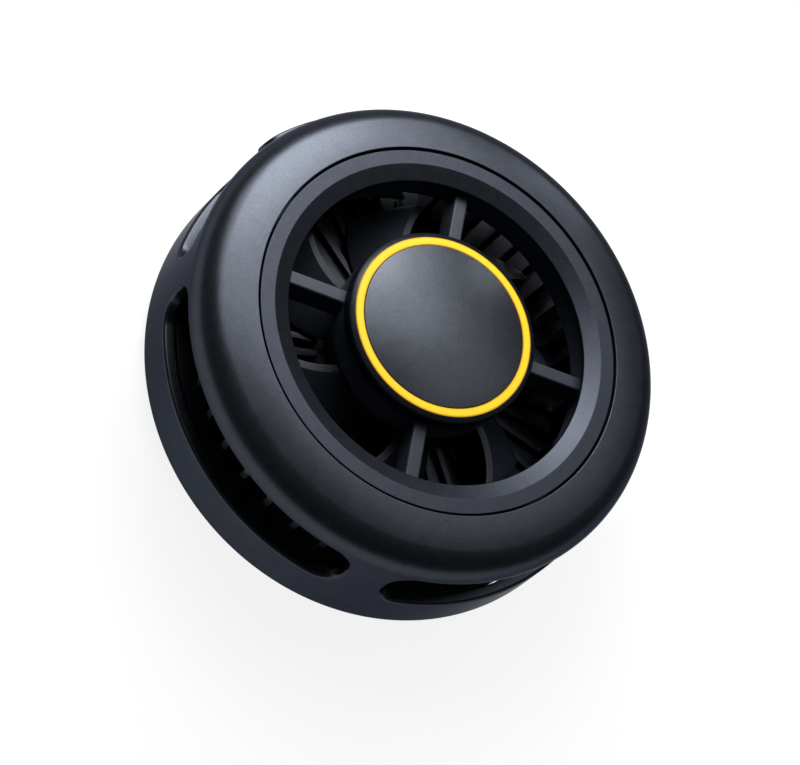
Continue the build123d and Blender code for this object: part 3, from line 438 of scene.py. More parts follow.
def makeFinish(name, look):
    material, shader, node, calc = newMaterial(name + ".look")
    pattern = node("ShaderNodeGroup", {"Size": look["size"]}, node_tree=patterns[look["pattern"]])
    mask = pattern.outputs["Mask"]
    tones = mixed(node, mask, look["tint"], look["shade"])
    if look["pattern"] == "paint":
        specks = node("ShaderNodeGroup", node_tree=flakes)
        bright = [min(1.0, flakeGain * part) for part in look["shade"]]
        tones = mixed(node, specks.outputs["Mask"], tones, bright)
    if "endRadius" in look:
        # the fins' outer ends are bare metal after the dark finish; their light grey is partly a painted
        # highlight for the light they catch through the vents
        beyond = calc("GREATER_THAN", axisReach(node), look["endRadius"] * mm)
        above = calc("GREATER_THAN", split(node, objectPoint(node))["Z"], look["endLow"] * mm)
        tones = mixed(node, calc("MULTIPLY", beyond, above), tones, look["endTint"])
    low, high = look["gloss"]
    gloss = node("ShaderNodeMapRange", {"Value": mask, "To Min": low, "To Max": high})
    depth = {"Height": pattern.outputs["Height"], "Distance": look["relief"] * mm, "Strength": 1.0}
    relief = node("ShaderNodeBump", depth)
    if "dome" in look:
        # a slight crown, so that a flat face shades from one side to the other
        share = calc("DIVIDE", axisReach(node), look["domeRadius"] * mm)
        drop = calc("SUBTRACT", 1.0, calc("MULTIPLY", share, share))
        depth = {"Height": drop, "Distance": look["dome"] * mm, "Strength": 1.0}
        feed(relief, {"Normal": node("ShaderNodeBump", depth).outputs["Normal"]})
    settings = {
        "Base Color": tones,
        "Roughness": gloss.outputs["Result"],
        "Normal": relief.outputs["Normal"],
        "Metallic": look.get("metal", 0.0),
        "Specular IOR Level": look.get("level", 0.5),
        "Specular Tint": (*look.get("edge", (1, 1, 1)), 1),
    }
    feed(shader, settings)
    return material


paints = {name: makeFinish(name, look) for name, look in finishes.items()}

# the lit ring: bright along its middle, amber where it meets the metal, with faint clouds
lightRing = dict(
    inner=10.87, outer=11.88, glow=0.78, gloss=0.3, level=0.2, cloudSize=0.5, cloudShare=0.12,
    middleColour=(0.68, 0.42, 0.010), edgeColour=(0.50, 0.27, 0.006), cloudColour=(0.74, 0.50, 0.03),
    middleShares=(0.3, 0.7), edgeShares=(0.02, 0.98),
)
paints["ring_acrylic"], shader, node, calc = newMaterial("ring_acrylic.look")
edges = {"From Min": lightRing["inner"] * mm, "From Max": lightRing["outer"] * mm}
across = node("ShaderNodeMapRange", {"Value": axisReach(node), **edges})
ramp = node("ShaderNodeValToRGB", {"Fac": across.outputs["Result"]})
ramp.color_ramp.interpolation = "EASE"
stops = ramp.color_ramp.elements
for index, share in enumerate(lightRing["edgeShares"]):
    stops[index].position, stops[index].color = share, (*lightRing["edgeColour"], 1)
for share in lightRing["middleShares"]:
    stops.new(share).color = (*lightRing["middleColour"], 1)
clouds = node("ShaderNodeGroup", {"Size": lightRing["cloudSize"]}, node_tree=grain)
cloudy = calc("MULTIPLY", clouds.outputs["Mask"], lightRing["cloudShare"])
tones = mixed(node, cloudy, ramp.outputs["Color"], lightRing["cloudColour"])
feed(shader, {"Base Color": tones, "Emission Color": tones, "Emission Strength": lightRing["glow"]})
feed(shader, {"Roughness": lightRing["gloss"], "Specular IOR Level": lightRing["level"]})

slotOf = {part["node"]: part["material_slot"] for part in frame["record"]["subparts"]}
for name, solid in frame["nodes"].items():
    for holder in solid.material_slots:
        holder.material = paints[slotOf[name]]
print("finishes made:", len(paints))


# outer shell: turned skin, five soft-edged vents, the socket's pad and the screw posts

shell = dict(
    footRadius=31.2, footRound=1.8, bottom=0.8, floor=8.0, bore=30.95, wall=1.4,
    crownCentre=27.64, crownHeight=16.76, crownRound=3.8, shoulder=81, topRound=28.7,
    lipRadius=24.25, lipRound=0.14, lipEase=0.75, lipLead=1.3,
    seat=17.4, flangeBore=22.6, flangeBottom=16.2, sharpAngle=35,
)
vents = dict(middles=(0, 60.6, 119.4, 180, 270), halves=(37.6, 13.4, 13.4, 37.6, 42.8))
ventEdge = dict(low=8.8, high=16.4, corner=3.2, rim=0.42, innerRim=0.2)
wallSteps = dict(bend=6, perDegree=1.3, least=4, patch=6, rim=6)
socketPad = dict(
    azimuth=90, height=12.6, width=10.2, tall=4.7, stand=0.85, root=29.85, edge=0.2,
    holeWidth=9.14, holeTall=3.36, lip=0.12,
    openingHalf=4.85, openingRise=2.0, openingCorner=1.9, openingRim=0.05,
)
post = dict(
    circle=28.85, radius=1.7, bottom=8.0, top=18.66, bore=0.82, boreTop=14.5,
    azimuths=(42.4, 137.6, 222.4, 317.6),
)

crownCentre = (shell["crownCentre"], shell["crownHeight"])
footCentre = (shell["footRadius"], shell["bottom"] + shell["footRound"])
run, rise = crownCentre[0] - footCentre[0], crownCentre[1] - footCentre[1]
lean = math.acos((shell["footRound"] - shell["crownRound"]) / math.hypot(run, rise))
slope = math.degrees(math.atan2(rise, run) - lean)
innerRound, innerTopRound = shell["crownRound"] - shell["wall"], shell["topRound"] - shell["wall"]
flankFoot = arcPoint(footCentre, shell["footRound"], slope)
flankTop = arcPoint(crownCentre, shell["crownRound"], slope)
innerTop = arcPoint(crownCentre, innerRound, slope)
innerFoot = (shell["bore"], shell["floor"])
topCentre = arcPoint(crownCentre, shell["crownRound"] - shell["topRound"], shell["shoulder"])
innerLip = shell["lipRadius"] + shell["wall"]
lipAngle = math.degrees(math.acos((shell["lipRadius"] - topCentre[0]) / shell["topRound"]))
innerLipAngle = math.degrees(math.acos((innerLip - topCentre[0]) / innerTopRound))
lipLead = math.degrees(shell["lipLead"] * shell["lipRound"] / shell["topRound"])


def wallRadius(height, outer):
    # radius of the side wall's outer or inner face at a height
    low, high = (flankFoot, flankTop) if outer else (innerFoot, innerTop)
    return low[0] + (high[0] - low[0]) * (height - low[1]) / (high[1] - low[1])


def ventLoop(half, rise, corner, radius, first, last, bottom, top):
    # round the opening: (corner's centre, angle), and for each its point on the edge of the patch
    bend = wallSteps["bend"]
    flatTurn, flatRise = half - math.degrees(corner / radius), rise - corner
    centres = [(flatTurn, flatRise), (-flatTurn, flatRise), (-flatTurn, -flatRise), (flatTurn, -flatRise)]
    edges = [(last, top), (first, top), (first, bottom), (last, bottom)]
    runs = (max(wallSteps["least"], round(wallSteps["perDegree"] * flatTurn)), wallSteps["least"])
    outline, border = [], []
    for side in range(4):
        start, end = Vector(centres[side]), Vector(centres[(side + 1) % 4])
        startEdge, endEdge = Vector(edges[side]), Vector(edges[(side + 1) % 4])
        run, outward = runs[side % 2], 90 * (side + 1)
        count = run + 2 * bend
        for step in range(count):
            if step < bend:
                centre, angle = start, outward - 45 + 45 * step / bend
                level = startEdge.x + (start.x - startEdge.x) * step / bend
            elif step < bend + run:
                centre, angle = start.lerp(end, (step - bend) / run), outward
                level = centre.x
            else:
                share = (step - bend - run) / bend
                centre, angle = end, outward + 45 * share
                level = end.x + (endEdge.x - end.x) * share
            outline.append((centre, math.radians(angle)))
            along = startEdge.lerp(endEdge, step / count)
            border.append(along if side % 2 else Vector((level, startEdge.y)))
    return outline, border


def openWall(mesh, first, last, middle, half, low, high, corner, rim, innerRim):
    # one patch of the side wall, inside and outside, with an opening whose edges are rounded
    centreHeight, rise = (low + high) / 2, (high - low) / 2
    radius = wallRadius(centreHeight, True)
    loops = []
    for outer in (True, False):
        bottom, top = (shell["floor"], flankTop[1]) if outer else (innerFoot[1], innerTop[1])
        ends = (first, last, bottom - centreHeight, top - centreHeight)
        outline, border = ventLoop(half, rise, corner, radius, *ends)
        rounding = rim if outer else innerRim

        def ringOf(reach):
            turn, rise = math.degrees((corner + reach) / radius), corner + reach
            return [centre + Vector((turn * math.cos(a), rise * math.sin(a))) for centre, a in outline]

        def onWall(points, depth):
            made = []
            for turn, height in points:
                level = height + centreHeight
                away = wallRadius(level, outer) + (-depth if outer else depth)
                made.append(mesh.verts.new(Vector(polar(away, middle + turn, level)) * mm))
            return made

        side, patch = [], wallSteps["patch"]
        rimEdge = ringOf(rounding)
        for step in range(patch):
            side.append(onWall([b.lerp(p, step / patch) for b, p in zip(border, rimEdge)], 0))
        for angle in quarter(wallSteps["rim"]):
            reach = rounding * (1 - math.sin(angle))
            side.append(onWall(ringOf(reach), rounding * (1 - math.cos(angle))))
        loops += side if outer else side[::-1]
    joinLoops(mesh, loops)
    return [middle + point.x for point in border if abs(point.y - border[0].y) < 1e-9]


def obround(mesh, halfLength, radius, level, steps=20, flatSteps=8):
    # upright oval with flat sides, centred on the socket; the level is a number or depends on (x, z)
    outline = []
    for side in (1, -1):
        for step in range(steps):
            angle = math.radians(-90 * side + 180 * step / steps)
            outline.append((side * halfLength + radius * math.cos(angle), radius * math.sin(angle)))
        for step in range(flatSteps):
            outline.append((side * halfLength * (1 - 2 * step / flatSteps), side * radius))
    loop = []
    for x, rise in outline:
        z = socketPad["height"] + rise
        y = level(x, z) if callable(level) else level
        loop.append(mesh.verts.new(Vector((x, y, z)) * mm))
    return loop


def padFace(depth):
    # the pad's face runs along the side wall
    away = socketPad["stand"] / math.cos(math.radians(slope)) - depth
    return lambda x, z: math.sqrt((wallRadius(z, True) + away) ** 2 - x**2)


skin = bmesh.new()
openings = [dict(middle=m, half=h, **ventEdge) for m, h in zip(vents["middles"], vents["halves"])]
socketOpening = dict(
    middle=socketPad["azimuth"],
    half=math.degrees(socketPad["openingHalf"] / shell["bore"]),
    low=socketPad["height"] - socketPad["openingRise"],
    high=socketPad["height"] + socketPad["openingRise"],
    corner=socketPad["openingCorner"],
    rim=socketPad["openingRim"],
    innerRim=socketPad["openingRim"],
)
openings = sorted(openings + [socketOpening], key=lambda opening: opening["middle"])
azimuths = set()
for index, opening in enumerate(openings):
    middle, half = opening["middle"], opening["half"]
    before, after = openings[index - 1], openings[(index + 1) % len(openings)]
    gapBefore = (middle - half - before["middle"] - before["half"]) % 360
    gapAfter = (after["middle"] - after["half"] - middle - half) % 360
    turns = openWall(skin, -half - gapBefore / 2, half + gapAfter / 2, **opening)
    azimuths.update(round(turn % 360, 6) for turn in turns)
azimuths = sorted(azimuths)

belowVents = [innerFoot, (shell["bore"], shell["bottom"])]
belowVents += arcRun(footCentre, shell["footRound"], -90, slope, 14)
belowVents.append((wallRadius(shell["floor"], True), shell["floor"]))
aboveVents = arcRun(crownCentre, shell["crownRound"], slope, shell["shoulder"], 40)
aboveVents += arcRun(topCentre, shell["topRound"], shell["shoulder"], lipAngle - lipLead, 12)[1:]
lipCorner = (*arcPoint(topCentre, shell["topRound"], lipAngle), shell["lipEase"] * shell["lipRound"])
aboveVents += eased([aboveVents[-1], lipCorner, (shell["lipRadius"], shell["seat"])], 6)[1:]
aboveVents += [
    (shell["flangeBore"], shell["seat"]),
    (shell["flangeBore"], shell["flangeBottom"]),
    (innerLip, shell["flangeBottom"]),
]
aboveVents += arcRun(topCentre, innerTopRound, innerLipAngle, shell["shoulder"], 8)
aboveVents += arcRun(crownCentre, innerRound, shell["shoulder"], slope, 20)[1:]
lathe(skin, belowVents, azimuths, closed=False)
lathe(skin, aboveVents, azimuths, closed=False)

padHalf, padRound = (socketPad["width"] - socketPad["tall"]) / 2, socketPad["tall"] / 2
holeHalf, holeRound = (socketPad["holeWidth"] - socketPad["holeTall"]) / 2, socketPad["holeTall"] / 2
padLoops = [obround(skin, padHalf, padRound, socketPad["root"])]
for angle in quarter(6):
    inset, depth = socketPad["edge"] * (1 - math.cos(angle)), socketPad["edge"] * (1 - math.sin(angle))
    padLoops.append(obround(skin, padHalf, padRound - inset, padFace(depth)))
for angle in quarter(5):
    grow, depth = socketPad["lip"] * (1 - math.sin(angle)), socketPad["lip"] * (1 - math.cos(angle))
    padLoops.append(obround(skin, holeHalf, holeRound + grow, padFace(depth)))
padLoops.append(obround(skin, holeHalf, holeRound, socketPad["root"]))
joinLoops(skin, padLoops, closed=True)
postOutline = [
    (post["bore"], post["bottom"]), (post["radius"], post["bottom"]), (post["radius"], post["top"]),
    (0, post["top"]), (0, post["boreTop"]), (post["bore"], post["boreTop"]),
]
for azimuth in post["azimuths"]:
    column(skin, *polar(post["circle"], azimuth)[:2], postOutline)
place(finished("outerShell", skin, "shell_coat", shell["sharpAngle"]), "housing", "outer_shell")
print("outer shell made")


# turned pieces: bezel, hub rim, hub plate, light guide, grip ring and contact pad

fineTurns = even(320)


def turnedPiece(name, node, corners, steps=5):
    mesh = bmesh.new()
    lathe(mesh, eased(corners, steps), fineTurns)
    place(finished(name, mesh, slotOf[node]), "housing", node)


bezel = dict(
    outer=24.0, top=20.6, outerEdge=0.1, flat=22.15, flatTop=20.46, flatEdge=0.35,
    intake=20.16, coneFoot=19.52, coneEdge=0.16, lip=18.9, lipEdge=0.12, bottom=18.6, seatBore=22.4,
)
bezelCorners = [
    (bezel["outer"], bezel["bottom"]),
    (bezel["outer"], bezel["top"], bezel["outerEdge"]),
    (bezel["flat"], bezel["flatTop"], bezel["flatEdge"]),
    (bezel["intake"], bezel["coneFoot"], bezel["coneEdge"]),
    (bezel["intake"], bezel["lip"], bezel["lipEdge"]),
    (bezel["seatBore"], bezel["lip"]),
    (bezel["seatBore"], bezel["bottom"]),
]
turnedPiece("frontBezel", "front_bezel", bezelCorners)

cap = dict(
    rim=12.68, rimFall=0.3, rimRound=0.4, rimEdge=0.03, plateEdge=0.1, guideEdge=0.06, gap=0.05,
    ringOuter=11.88, ringInner=10.87, guide=12.2, cup=18.3, bottom=18.9, top=20.32,
)
rimCorners = [
    (cap["guide"] + cap["gap"], cap["cup"]),
    (cap["rim"], cap["cup"]),
    (cap["rim"], cap["top"] - cap["rimFall"], cap["rimRound"]),
    (cap["ringOuter"] + cap["gap"], cap["top"], cap["rimEdge"]),
    (cap["ringOuter"] + cap["gap"], cap["bottom"] + cap["gap"]),
    (cap["guide"] + cap["gap"], cap["bottom"] + cap["gap"]),
]
turnedPiece("hubRim", "hub_rim", rimCorners, 8)
plateCorners = [
    (0, cap["bottom"]),
    (cap["ringInner"] - cap["gap"], cap["bottom"]),
    (cap["ringInner"] - cap["gap"], cap["top"], cap["plateEdge"]),
    (0, cap["top"]),
]
turnedPiece("hubPlate", "hub_plate", plateCorners)
guideCorners = [
    (0, cap["cup"]), (cap["guide"], cap["cup"]), (cap["guide"], cap["bottom"]),
    (cap["ringOuter"], cap["bottom"]), (cap["ringOuter"], cap["top"], cap["guideEdge"]),
    (cap["ringInner"], cap["top"], cap["guideEdge"]), (cap["ringInner"], cap["bottom"]),
    (0, cap["bottom"]),
]
turnedPiece("lightGuide", "light_guide", guideCorners)

grip = dict(inner=20.6, outer=30.6, top=0.8, edge=0.3, topEdge=0.04)
gripCorners = [
    (grip["inner"], 0, grip["edge"]), (grip["outer"], 0, grip["edge"]),
    (grip["outer"], grip["top"], grip["topEdge"]), (grip["inner"], grip["top"], grip["topEdge"]),
]
turnedPiece("gripRing", "grip_ring", gripCorners)
pad = dict(radius=19.8, top=0.6, edge=0.25, topEdge=0.04)
padCorners = [
    (0, 0), (pad["radius"], 0, pad["edge"]),
    (pad["radius"], pad["top"], pad["topEdge"]), (0, pad["top"]),
]
turnedPiece("contactPad", "contact_pad", padCorners)
print("turned pieces made")


# geometry trees, each for a row of equal pieces


def copied(node, given, spots, turns=(0, 0, 0)):
    values = {"Points": spots, "Instance": given["Geometry"], "Rotation": turns}
    return node("GeometryNodeInstanceOnPoints", values).outputs[0]


def coated(node, given, shape):
    # the end of each tree: a real mesh with its finish
    real = node("GeometryNodeRealizeInstances", {"Geometry": shape}).outputs[0]
    values = {"Geometry": real, "Material": given["Finish"]}
    return {"Geometry": node("GeometryNodeSetMaterial", values).outputs[0]}


def copiedRound(node, calc, given):
    # copies at even angles round the fan's axis, and the angle of each
    spots = node("GeometryNodePoints", {"Count": given["Count"]}).outputs[0]
    index = node("GeometryNodeInputIndex").outputs[0]
    step = calc("DIVIDE", 2 * math.pi, given["Count"])
    angle = calc("MULTIPLY_ADD", index, step, calc("RADIANS", given["First Azimuth"]))
    turns = node("ShaderNodeCombineXYZ", {"Z": angle}).outputs[0]
    return copied(node, given, spots, turns), angle


def roundNodes(node, calc, given):
    return coated(node, given, copiedRound(node, calc, given)[0])


def bladeNodes(node, calc, given):
    # each blade is a block of points bent to a swept, twisted form
    count = {"Vertices X": 17, "Vertices Y": 4, "Vertices Z": 11}
    stock = node("GeometryNodeMeshCube", {"Size": (1, 1, 1), **count})
    at = split(node, node("GeometryNodeInputPosition").outputs[0])
    along, up = calc("ADD", at["X"], 0.5), calc("ADD", at["Z"], 0.5)
    length = calc("SUBTRACT", given["Tip Radius"], given["Root Radius"])
    radius = calc("MULTIPLY_ADD", length, along, given["Root Radius"])
    arch = calc("MULTIPLY", calc("MULTIPLY", along, calc("SUBTRACT", 1.0, along)), 4.0)
    bowed = calc("MULTIPLY", arch, given["Bow"])
    swept = calc("MULTIPLY", calc("SUBTRACT", 0.5, along), given["Sweep"])
    wrapped = calc("MULTIPLY", calc("SUBTRACT", 1.0, up), given["Wrap"])
    azimuth = calc("RADIANS", calc("ADD", calc("ADD", bowed, swept), wrapped))
    cosine, sine = calc("COSINE", azimuth), calc("SINE", azimuth)
    aside = calc("MULTIPLY", at["Y"], given["Thickness"])
    point = {
        "X": calc("SUBTRACT", calc("MULTIPLY", radius, cosine), calc("MULTIPLY", aside, sine)),
        "Y": calc("ADD", calc("MULTIPLY", radius, sine), calc("MULTIPLY", aside, cosine)),
        "Z": calc("MULTIPLY_ADD", up, given["Height"], given["Bottom"]),
    }
    bent = {"Geometry": stock.outputs["Mesh"], "Position": node("ShaderNodeCombineXYZ", point).outputs[0]}
    values = {label: given[label] for label in ("Count", "First Azimuth", "Finish")}
    values["Geometry"] = node("GeometryNodeSetPosition", bent).outputs[0]
    return coated(node, given, node("GeometryNodeGroup", values, node_tree=roundRow).outputs[0])


def finNodes(node, calc, given):
    # the fins over the circuit board are kept or dropped, those near a screw post stop short of it
    copies, angle = copiedRound(node, calc, given)
    sideways = calc("MULTIPLY", calc("ABSOLUTE", calc("COSINE", angle)), given["Board Radius"])
    within = calc("LESS_THAN", sideways, given["Board Half Width"])
    overBoard = calc("MULTIPLY", within, calc("GREATER_THAN", calc("SINE", angle), 0.0))
    wrongSide = calc("SUBTRACT", 1.0, calc("COMPARE", overBoard, given["Board Side"], 0.5))
    values = {"Geometry": copies, "Selection": wrongSide}
    left = node("GeometryNodeDeleteGeometry", values, domain="INSTANCE").outputs[0]
    values = {"Geometry": left, "Name": "finAngle", "Value": angle}
    tagged = node("GeometryNodeStoreNamedAttribute", values, data_type="FLOAT", domain="INSTANCE")
    real = node("GeometryNodeRealizeInstances", {"Geometry": tagged.outputs[0]}).outputs[0]
    tag = node("GeometryNodeInputNamedAttribute", {"Name": "finAngle"}, data_type="FLOAT").outputs[0]
    cosine, sine = calc("COSINE", tag), calc("SINE", tag)
    here = node("GeometryNodeInputPosition").outputs[0]
    spot = split(node, here)
    # the four posts lie at the same angle either side of both axes
    folded = calc("ARCTAN2", calc("ABSOLUTE", sine), calc("ABSOLUTE", cosine))
    fromPost = calc("SUBTRACT", folded, calc("RADIANS", given["Post Azimuth"]))
    offPost = calc("MULTIPLY", calc("ABSOLUTE", calc("SINE", fromPost)), given["Post Circle"])
    along = calc("ADD", calc("MULTIPLY", spot["X"], cosine), calc("MULTIPLY", spot["Y"], sine))
    excess = calc("MAXIMUM", calc("SUBTRACT", along, given["Post Stop"]), 0.0)
    back = {"X": calc("MULTIPLY", cosine, excess), "Y": calc("MULTIPLY", sine, excess)}
    values = {0: here, 1: node("ShaderNodeCombineXYZ", back).outputs[0]}
    values = {
        "Geometry": real,
        "Selection": calc("LESS_THAN", offPost, given["Post Clearance"]),
        "Position": node("ShaderNodeVectorMath", values, operation="SUBTRACT").outputs[0],
    }
    return coated(node, given, node("GeometryNodeSetPosition", values).outputs[0])


def lineNodes(node, calc, given):
    shift = node("ShaderNodeCombineXYZ", {"X": given["Pitch"]}).outputs[0]
    spots = node("GeometryNodeMeshLine", {"Count": given["Count"], "Offset": shift}, mode="OFFSET")
    return coated(node, given, copied(node, given, spots.outputs[0]))


def buildRow(name, build, inputs):
    # lengths are in metres here, as Blender takes them
    shape = {"Geometry": "NodeSocketGeometry"}
    inputs = {**shape, **inputs, "Finish": "NodeSocketMaterial"}
    return buildTree(name, "GeometryNodeTree", inputs, shape, build)


roundRow = buildRow("roundRow", roundNodes, {"Count": 4, "First Azimuth": 0.0})
bladeInputs = {
    "Count": 7, "First Azimuth": 10.7, "Root Radius": 0.011, "Tip Radius": 0.02, "Bottom": 0.009,
    "Height": 0.0045, "Wrap": 24.0, "Sweep": 12.5, "Bow": 1.9, "Thickness": 0.0011,
}
bladeRow = buildRow("bladeRow", bladeNodes, bladeInputs)
finInputs = {
    "Count": 42, "First Azimuth": 6.9, "Board Side": False, "Board Half Width": 0.0125,
    "Board Radius": 0.0216, "Post Azimuth": 42.4, "Post Circle": 0.02885,
    "Post Clearance": 0.00245, "Post Stop": 0.0268,
}
finRow = buildRow("finRow", finNodes, finInputs)
straightRow = buildRow("straightRow", lineNodes, {"Count": 12, "Pitch": 0.0005})
print("geometry trees made")


# fan guard: shroud with its seat, hub cup, four spokes and the snap hooks

guard = dict(
    shroudBore=21.2, shroudOuter=22.4, bottom=14.3, seat=17.4, top=18.6, flange=24.05, shroudEdge=0.2,
    hubBore=11.78, cupTop=18.3, cupEdge=0.25, webLow=16.2, webHigh=17.0,
    tubeBore=2.5, tubeOuter=3.1, tubeBottom=11.2,
    spokes=4, spokeFirst=45.0, spokeWidth=1.85, spokeTop=18.18, spokeRoot=0.4, spokeEnd=0.6, edge=0.28,
    hookReach=0.6, hookTop=16.15, hookBottom=15.0, hookWidth=3.0, hookLand=0.15, hookRoot=0.6, hookEdge=0.08,
)
shroudCorners = [
    (guard["shroudBore"], guard["bottom"], guard["shroudEdge"]),
    (guard["shroudOuter"], guard["bottom"], guard["shroudEdge"]),
    (guard["shroudOuter"], guard["seat"]),
    (guard["flange"], guard["seat"]),
    (guard["flange"], guard["top"]),
    (guard["shroudBore"], guard["top"], guard["shroudEdge"]),
]
cupCorners = [
    (0, guard["webLow"]), (guard["tubeBore"], guard["webLow"]), (guard["tubeBore"], guard["tubeBottom"]),
    (guard["tubeOuter"], guard["tubeBottom"]), (guard["tubeOuter"], guard["webLow"]),
    (guard["hubBore"], guard["webLow"]), (guard["hubBore"], guard["bottom"]),
    (cap["rim"], guard["bottom"], guard["cupEdge"]), (cap["rim"], guard["cupTop"]),
    (guard["hubBore"], guard["cupTop"]), (guard["hubBore"], guard["webHigh"]), (0, guard["webHigh"]),
]
mesh = bmesh.new()
lathe(mesh, eased(shroudCorners), fineTurns)
lathe(mesh, eased(cupCorners), fineTurns)
guardRings = finished("guardRings", mesh, "guard_plastic")

mesh = bmesh.new()
start, end = guard["hubBore"] + guard["spokeRoot"], guard["shroudBore"] + guard["spokeEnd"]
half = guard["spokeWidth"] / 2
slab(mesh, (start, -half, guard["bottom"]), (end, half, guard["spokeTop"]))
spokes = beveled(finished("spokes", mesh, "guard_plastic"), guard["edge"], 4)
values = {"Count": guard["spokes"], "First Azimuth": guard["spokeFirst"]}
shaped(spokes, roundRow, "guard_plastic", values)

mesh = bmesh.new()
root, reach = guard["shroudOuter"] - guard["hookRoot"], guard["shroudOuter"] + guard["hookReach"]
hookOutline = [
    (root, guard["hookBottom"]), (guard["shroudOuter"], guard["hookBottom"]),
    (reach, guard["hookTop"] - guard["hookLand"]), (reach, guard["hookTop"]), (root, guard["hookTop"]),
]
upright(mesh, hookOutline, guard["hookWidth"] / 2)
hooks = beveled(finished("hooks", mesh, "guard_plastic"), guard["hookEdge"])
shaped(hooks, roundRow, "guard_plastic", {"Count": guard["spokes"], "First Azimuth": 0.0})
place(merged("fanGuard", [guardRings, spokes, hooks]), "housing", "fan_guard")
print("fan guard made")


# impeller: cup with its boss, and seven blades

fan = dict(
    cup=11.38, cupBore=10.52, bottom=9.4, discTop=10.3, top=15.0, footEdge=0.3, topEdge=0.2,
    boss=2.2, bossTop=10.9, shaftSeat=9.8, shaft=1.02,
    blades=7, firstBlade=10.7, root=10.98, tip=19.9, bladeHeight=4.5, thickness=1.1,
    wrap=24.0, sweep=12.5, bow=1.86, edge=0.16, bladeSharp=40,
)
cupCorners = [
    (0, fan["bottom"]), (fan["cup"], fan["bottom"], fan["footEdge"]),
    (fan["cup"], fan["top"], fan["topEdge"]), (fan["cupBore"], fan["top"]),
    (fan["cupBore"], fan["discTop"]), (fan["boss"], fan["discTop"]), (fan["boss"], fan["bossTop"]),
    (fan["shaft"], fan["bossTop"]), (fan["shaft"], fan["shaftSeat"]), (0, fan["shaftSeat"]),
]
mesh = bmesh.new()
lathe(mesh, eased(cupCorners), even(200))
cup = finished("impellerCup", mesh, "impeller_plastic")
values = {
    "Count": fan["blades"],
    "First Azimuth": fan["firstBlade"],
    "Root Radius": fan["root"] * mm,
    "Tip Radius": fan["tip"] * mm,
    "Bottom": fan["bottom"] * mm,
    "Height": fan["bladeHeight"] * mm,
    "Wrap": fan["wrap"],
    "Sweep": fan["sweep"],
    "Bow": fan["bow"],
    "Thickness": fan["thickness"] * mm,
}
blades = shaped(meshObject("blades", bmesh.new()), bladeRow, "impeller_plastic", values)
beveled(blades, fan["edge"], 3, fan["bladeSharp"])
place(merged("fanImpeller", [cup, blades]), "rotor", "impeller")
print("impeller made")


# heat sink: base, pedestal, the board's posts and the ring of stepped fins

sink = dict(
    radius=30.45, bottom=6.0, floor=8.0, baseEdge=0.12, cutLow=5, cutHigh=9, screwHole=0.9,
    slotWidth=4.4, slotStart=28.0, pedestal=15.5, pedestalBottom=5.5, overlap=0.3,
    boardPostRadius=1.5, boardPostTop=10.22, boardScrewHead=1.2, extrasEdge=0.08,
    fins=42, firstFin=6.9, finWidth=0.9, finStart=12.5, step=21.6, tallStart=23.2, finEnd=28.45,
    finSunk=0.2, lowTop=9.0, midTop=14.0, tallTop=15.0, edge=0.1,
    boardHalf=12.5, postClearance=2.45, stopShort=2.0,
)
baseCorners = [
    (0, sink["bottom"]), (sink["radius"], sink["bottom"], sink["baseEdge"]),
    (sink["radius"], sink["floor"], sink["baseEdge"]), (0, sink["floor"]),
]
mesh = bmesh.new()
lathe(mesh, eased(baseCorners, 3), even(240))
sinkBase = finished("sinkBase", mesh, "sink_aluminium")

mesh = bmesh.new()
middle, depth = (sink["cutLow"] + sink["cutHigh"]) / 2, sink["cutHigh"] - sink["cutLow"]
size = dict(radius1=sink["screwHole"] * mm, radius2=sink["screwHole"] * mm, depth=depth * mm)
for azimuth in post["azimuths"]:
    hole = bmesh.ops.create_cone(mesh, cap_ends=True, segments=32, **size)["verts"]
    bmesh.ops.translate(mesh, verts=hole, vec=Vector(polar(post["circle"], azimuth, middle)) * mm)
half = sink["slotWidth"] / 2
slab(mesh, (-half, sink["slotStart"], sink["cutLow"]), (half, sink["radius"] + 1, sink["cutHigh"]))
bmesh.ops.recalc_face_normals(mesh, faces=mesh.faces)
holes = meshObject("sinkHoles", mesh)
cut = sinkBase.modifiers.new("holes", "BOOLEAN")
cut.object = holes
cut.solver = "EXACT"
sinkBase.modifiers.move(len(sinkBase.modifiers) - 1, 0)
settled(sinkBase)
bpy.data.objects.remove(holes)

mesh = bmesh.new()
side = sink["pedestal"]
slab(mesh, (-side, -side, sink["pedestalBottom"]), (side, side, sink["bottom"] + sink["overlap"]))
screwLow, screwHigh = (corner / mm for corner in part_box("board_screws"))
root, width = sink["floor"] - sink["overlap"], sink["boardPostRadius"]
postOutline = [(0, root), (width, root), (width, sink["boardPostTop"]), (0, sink["boardPostTop"])]
for side in (1, -1):
    across = side * (screwHigh.x - sink["boardScrewHead"])
    column(mesh, across, (screwLow.y + screwHigh.y) / 2, postOutline)
sinkExtras = beveled(finished("sinkExtras", mesh, "sink_aluminium"), sink["extrasEdge"])

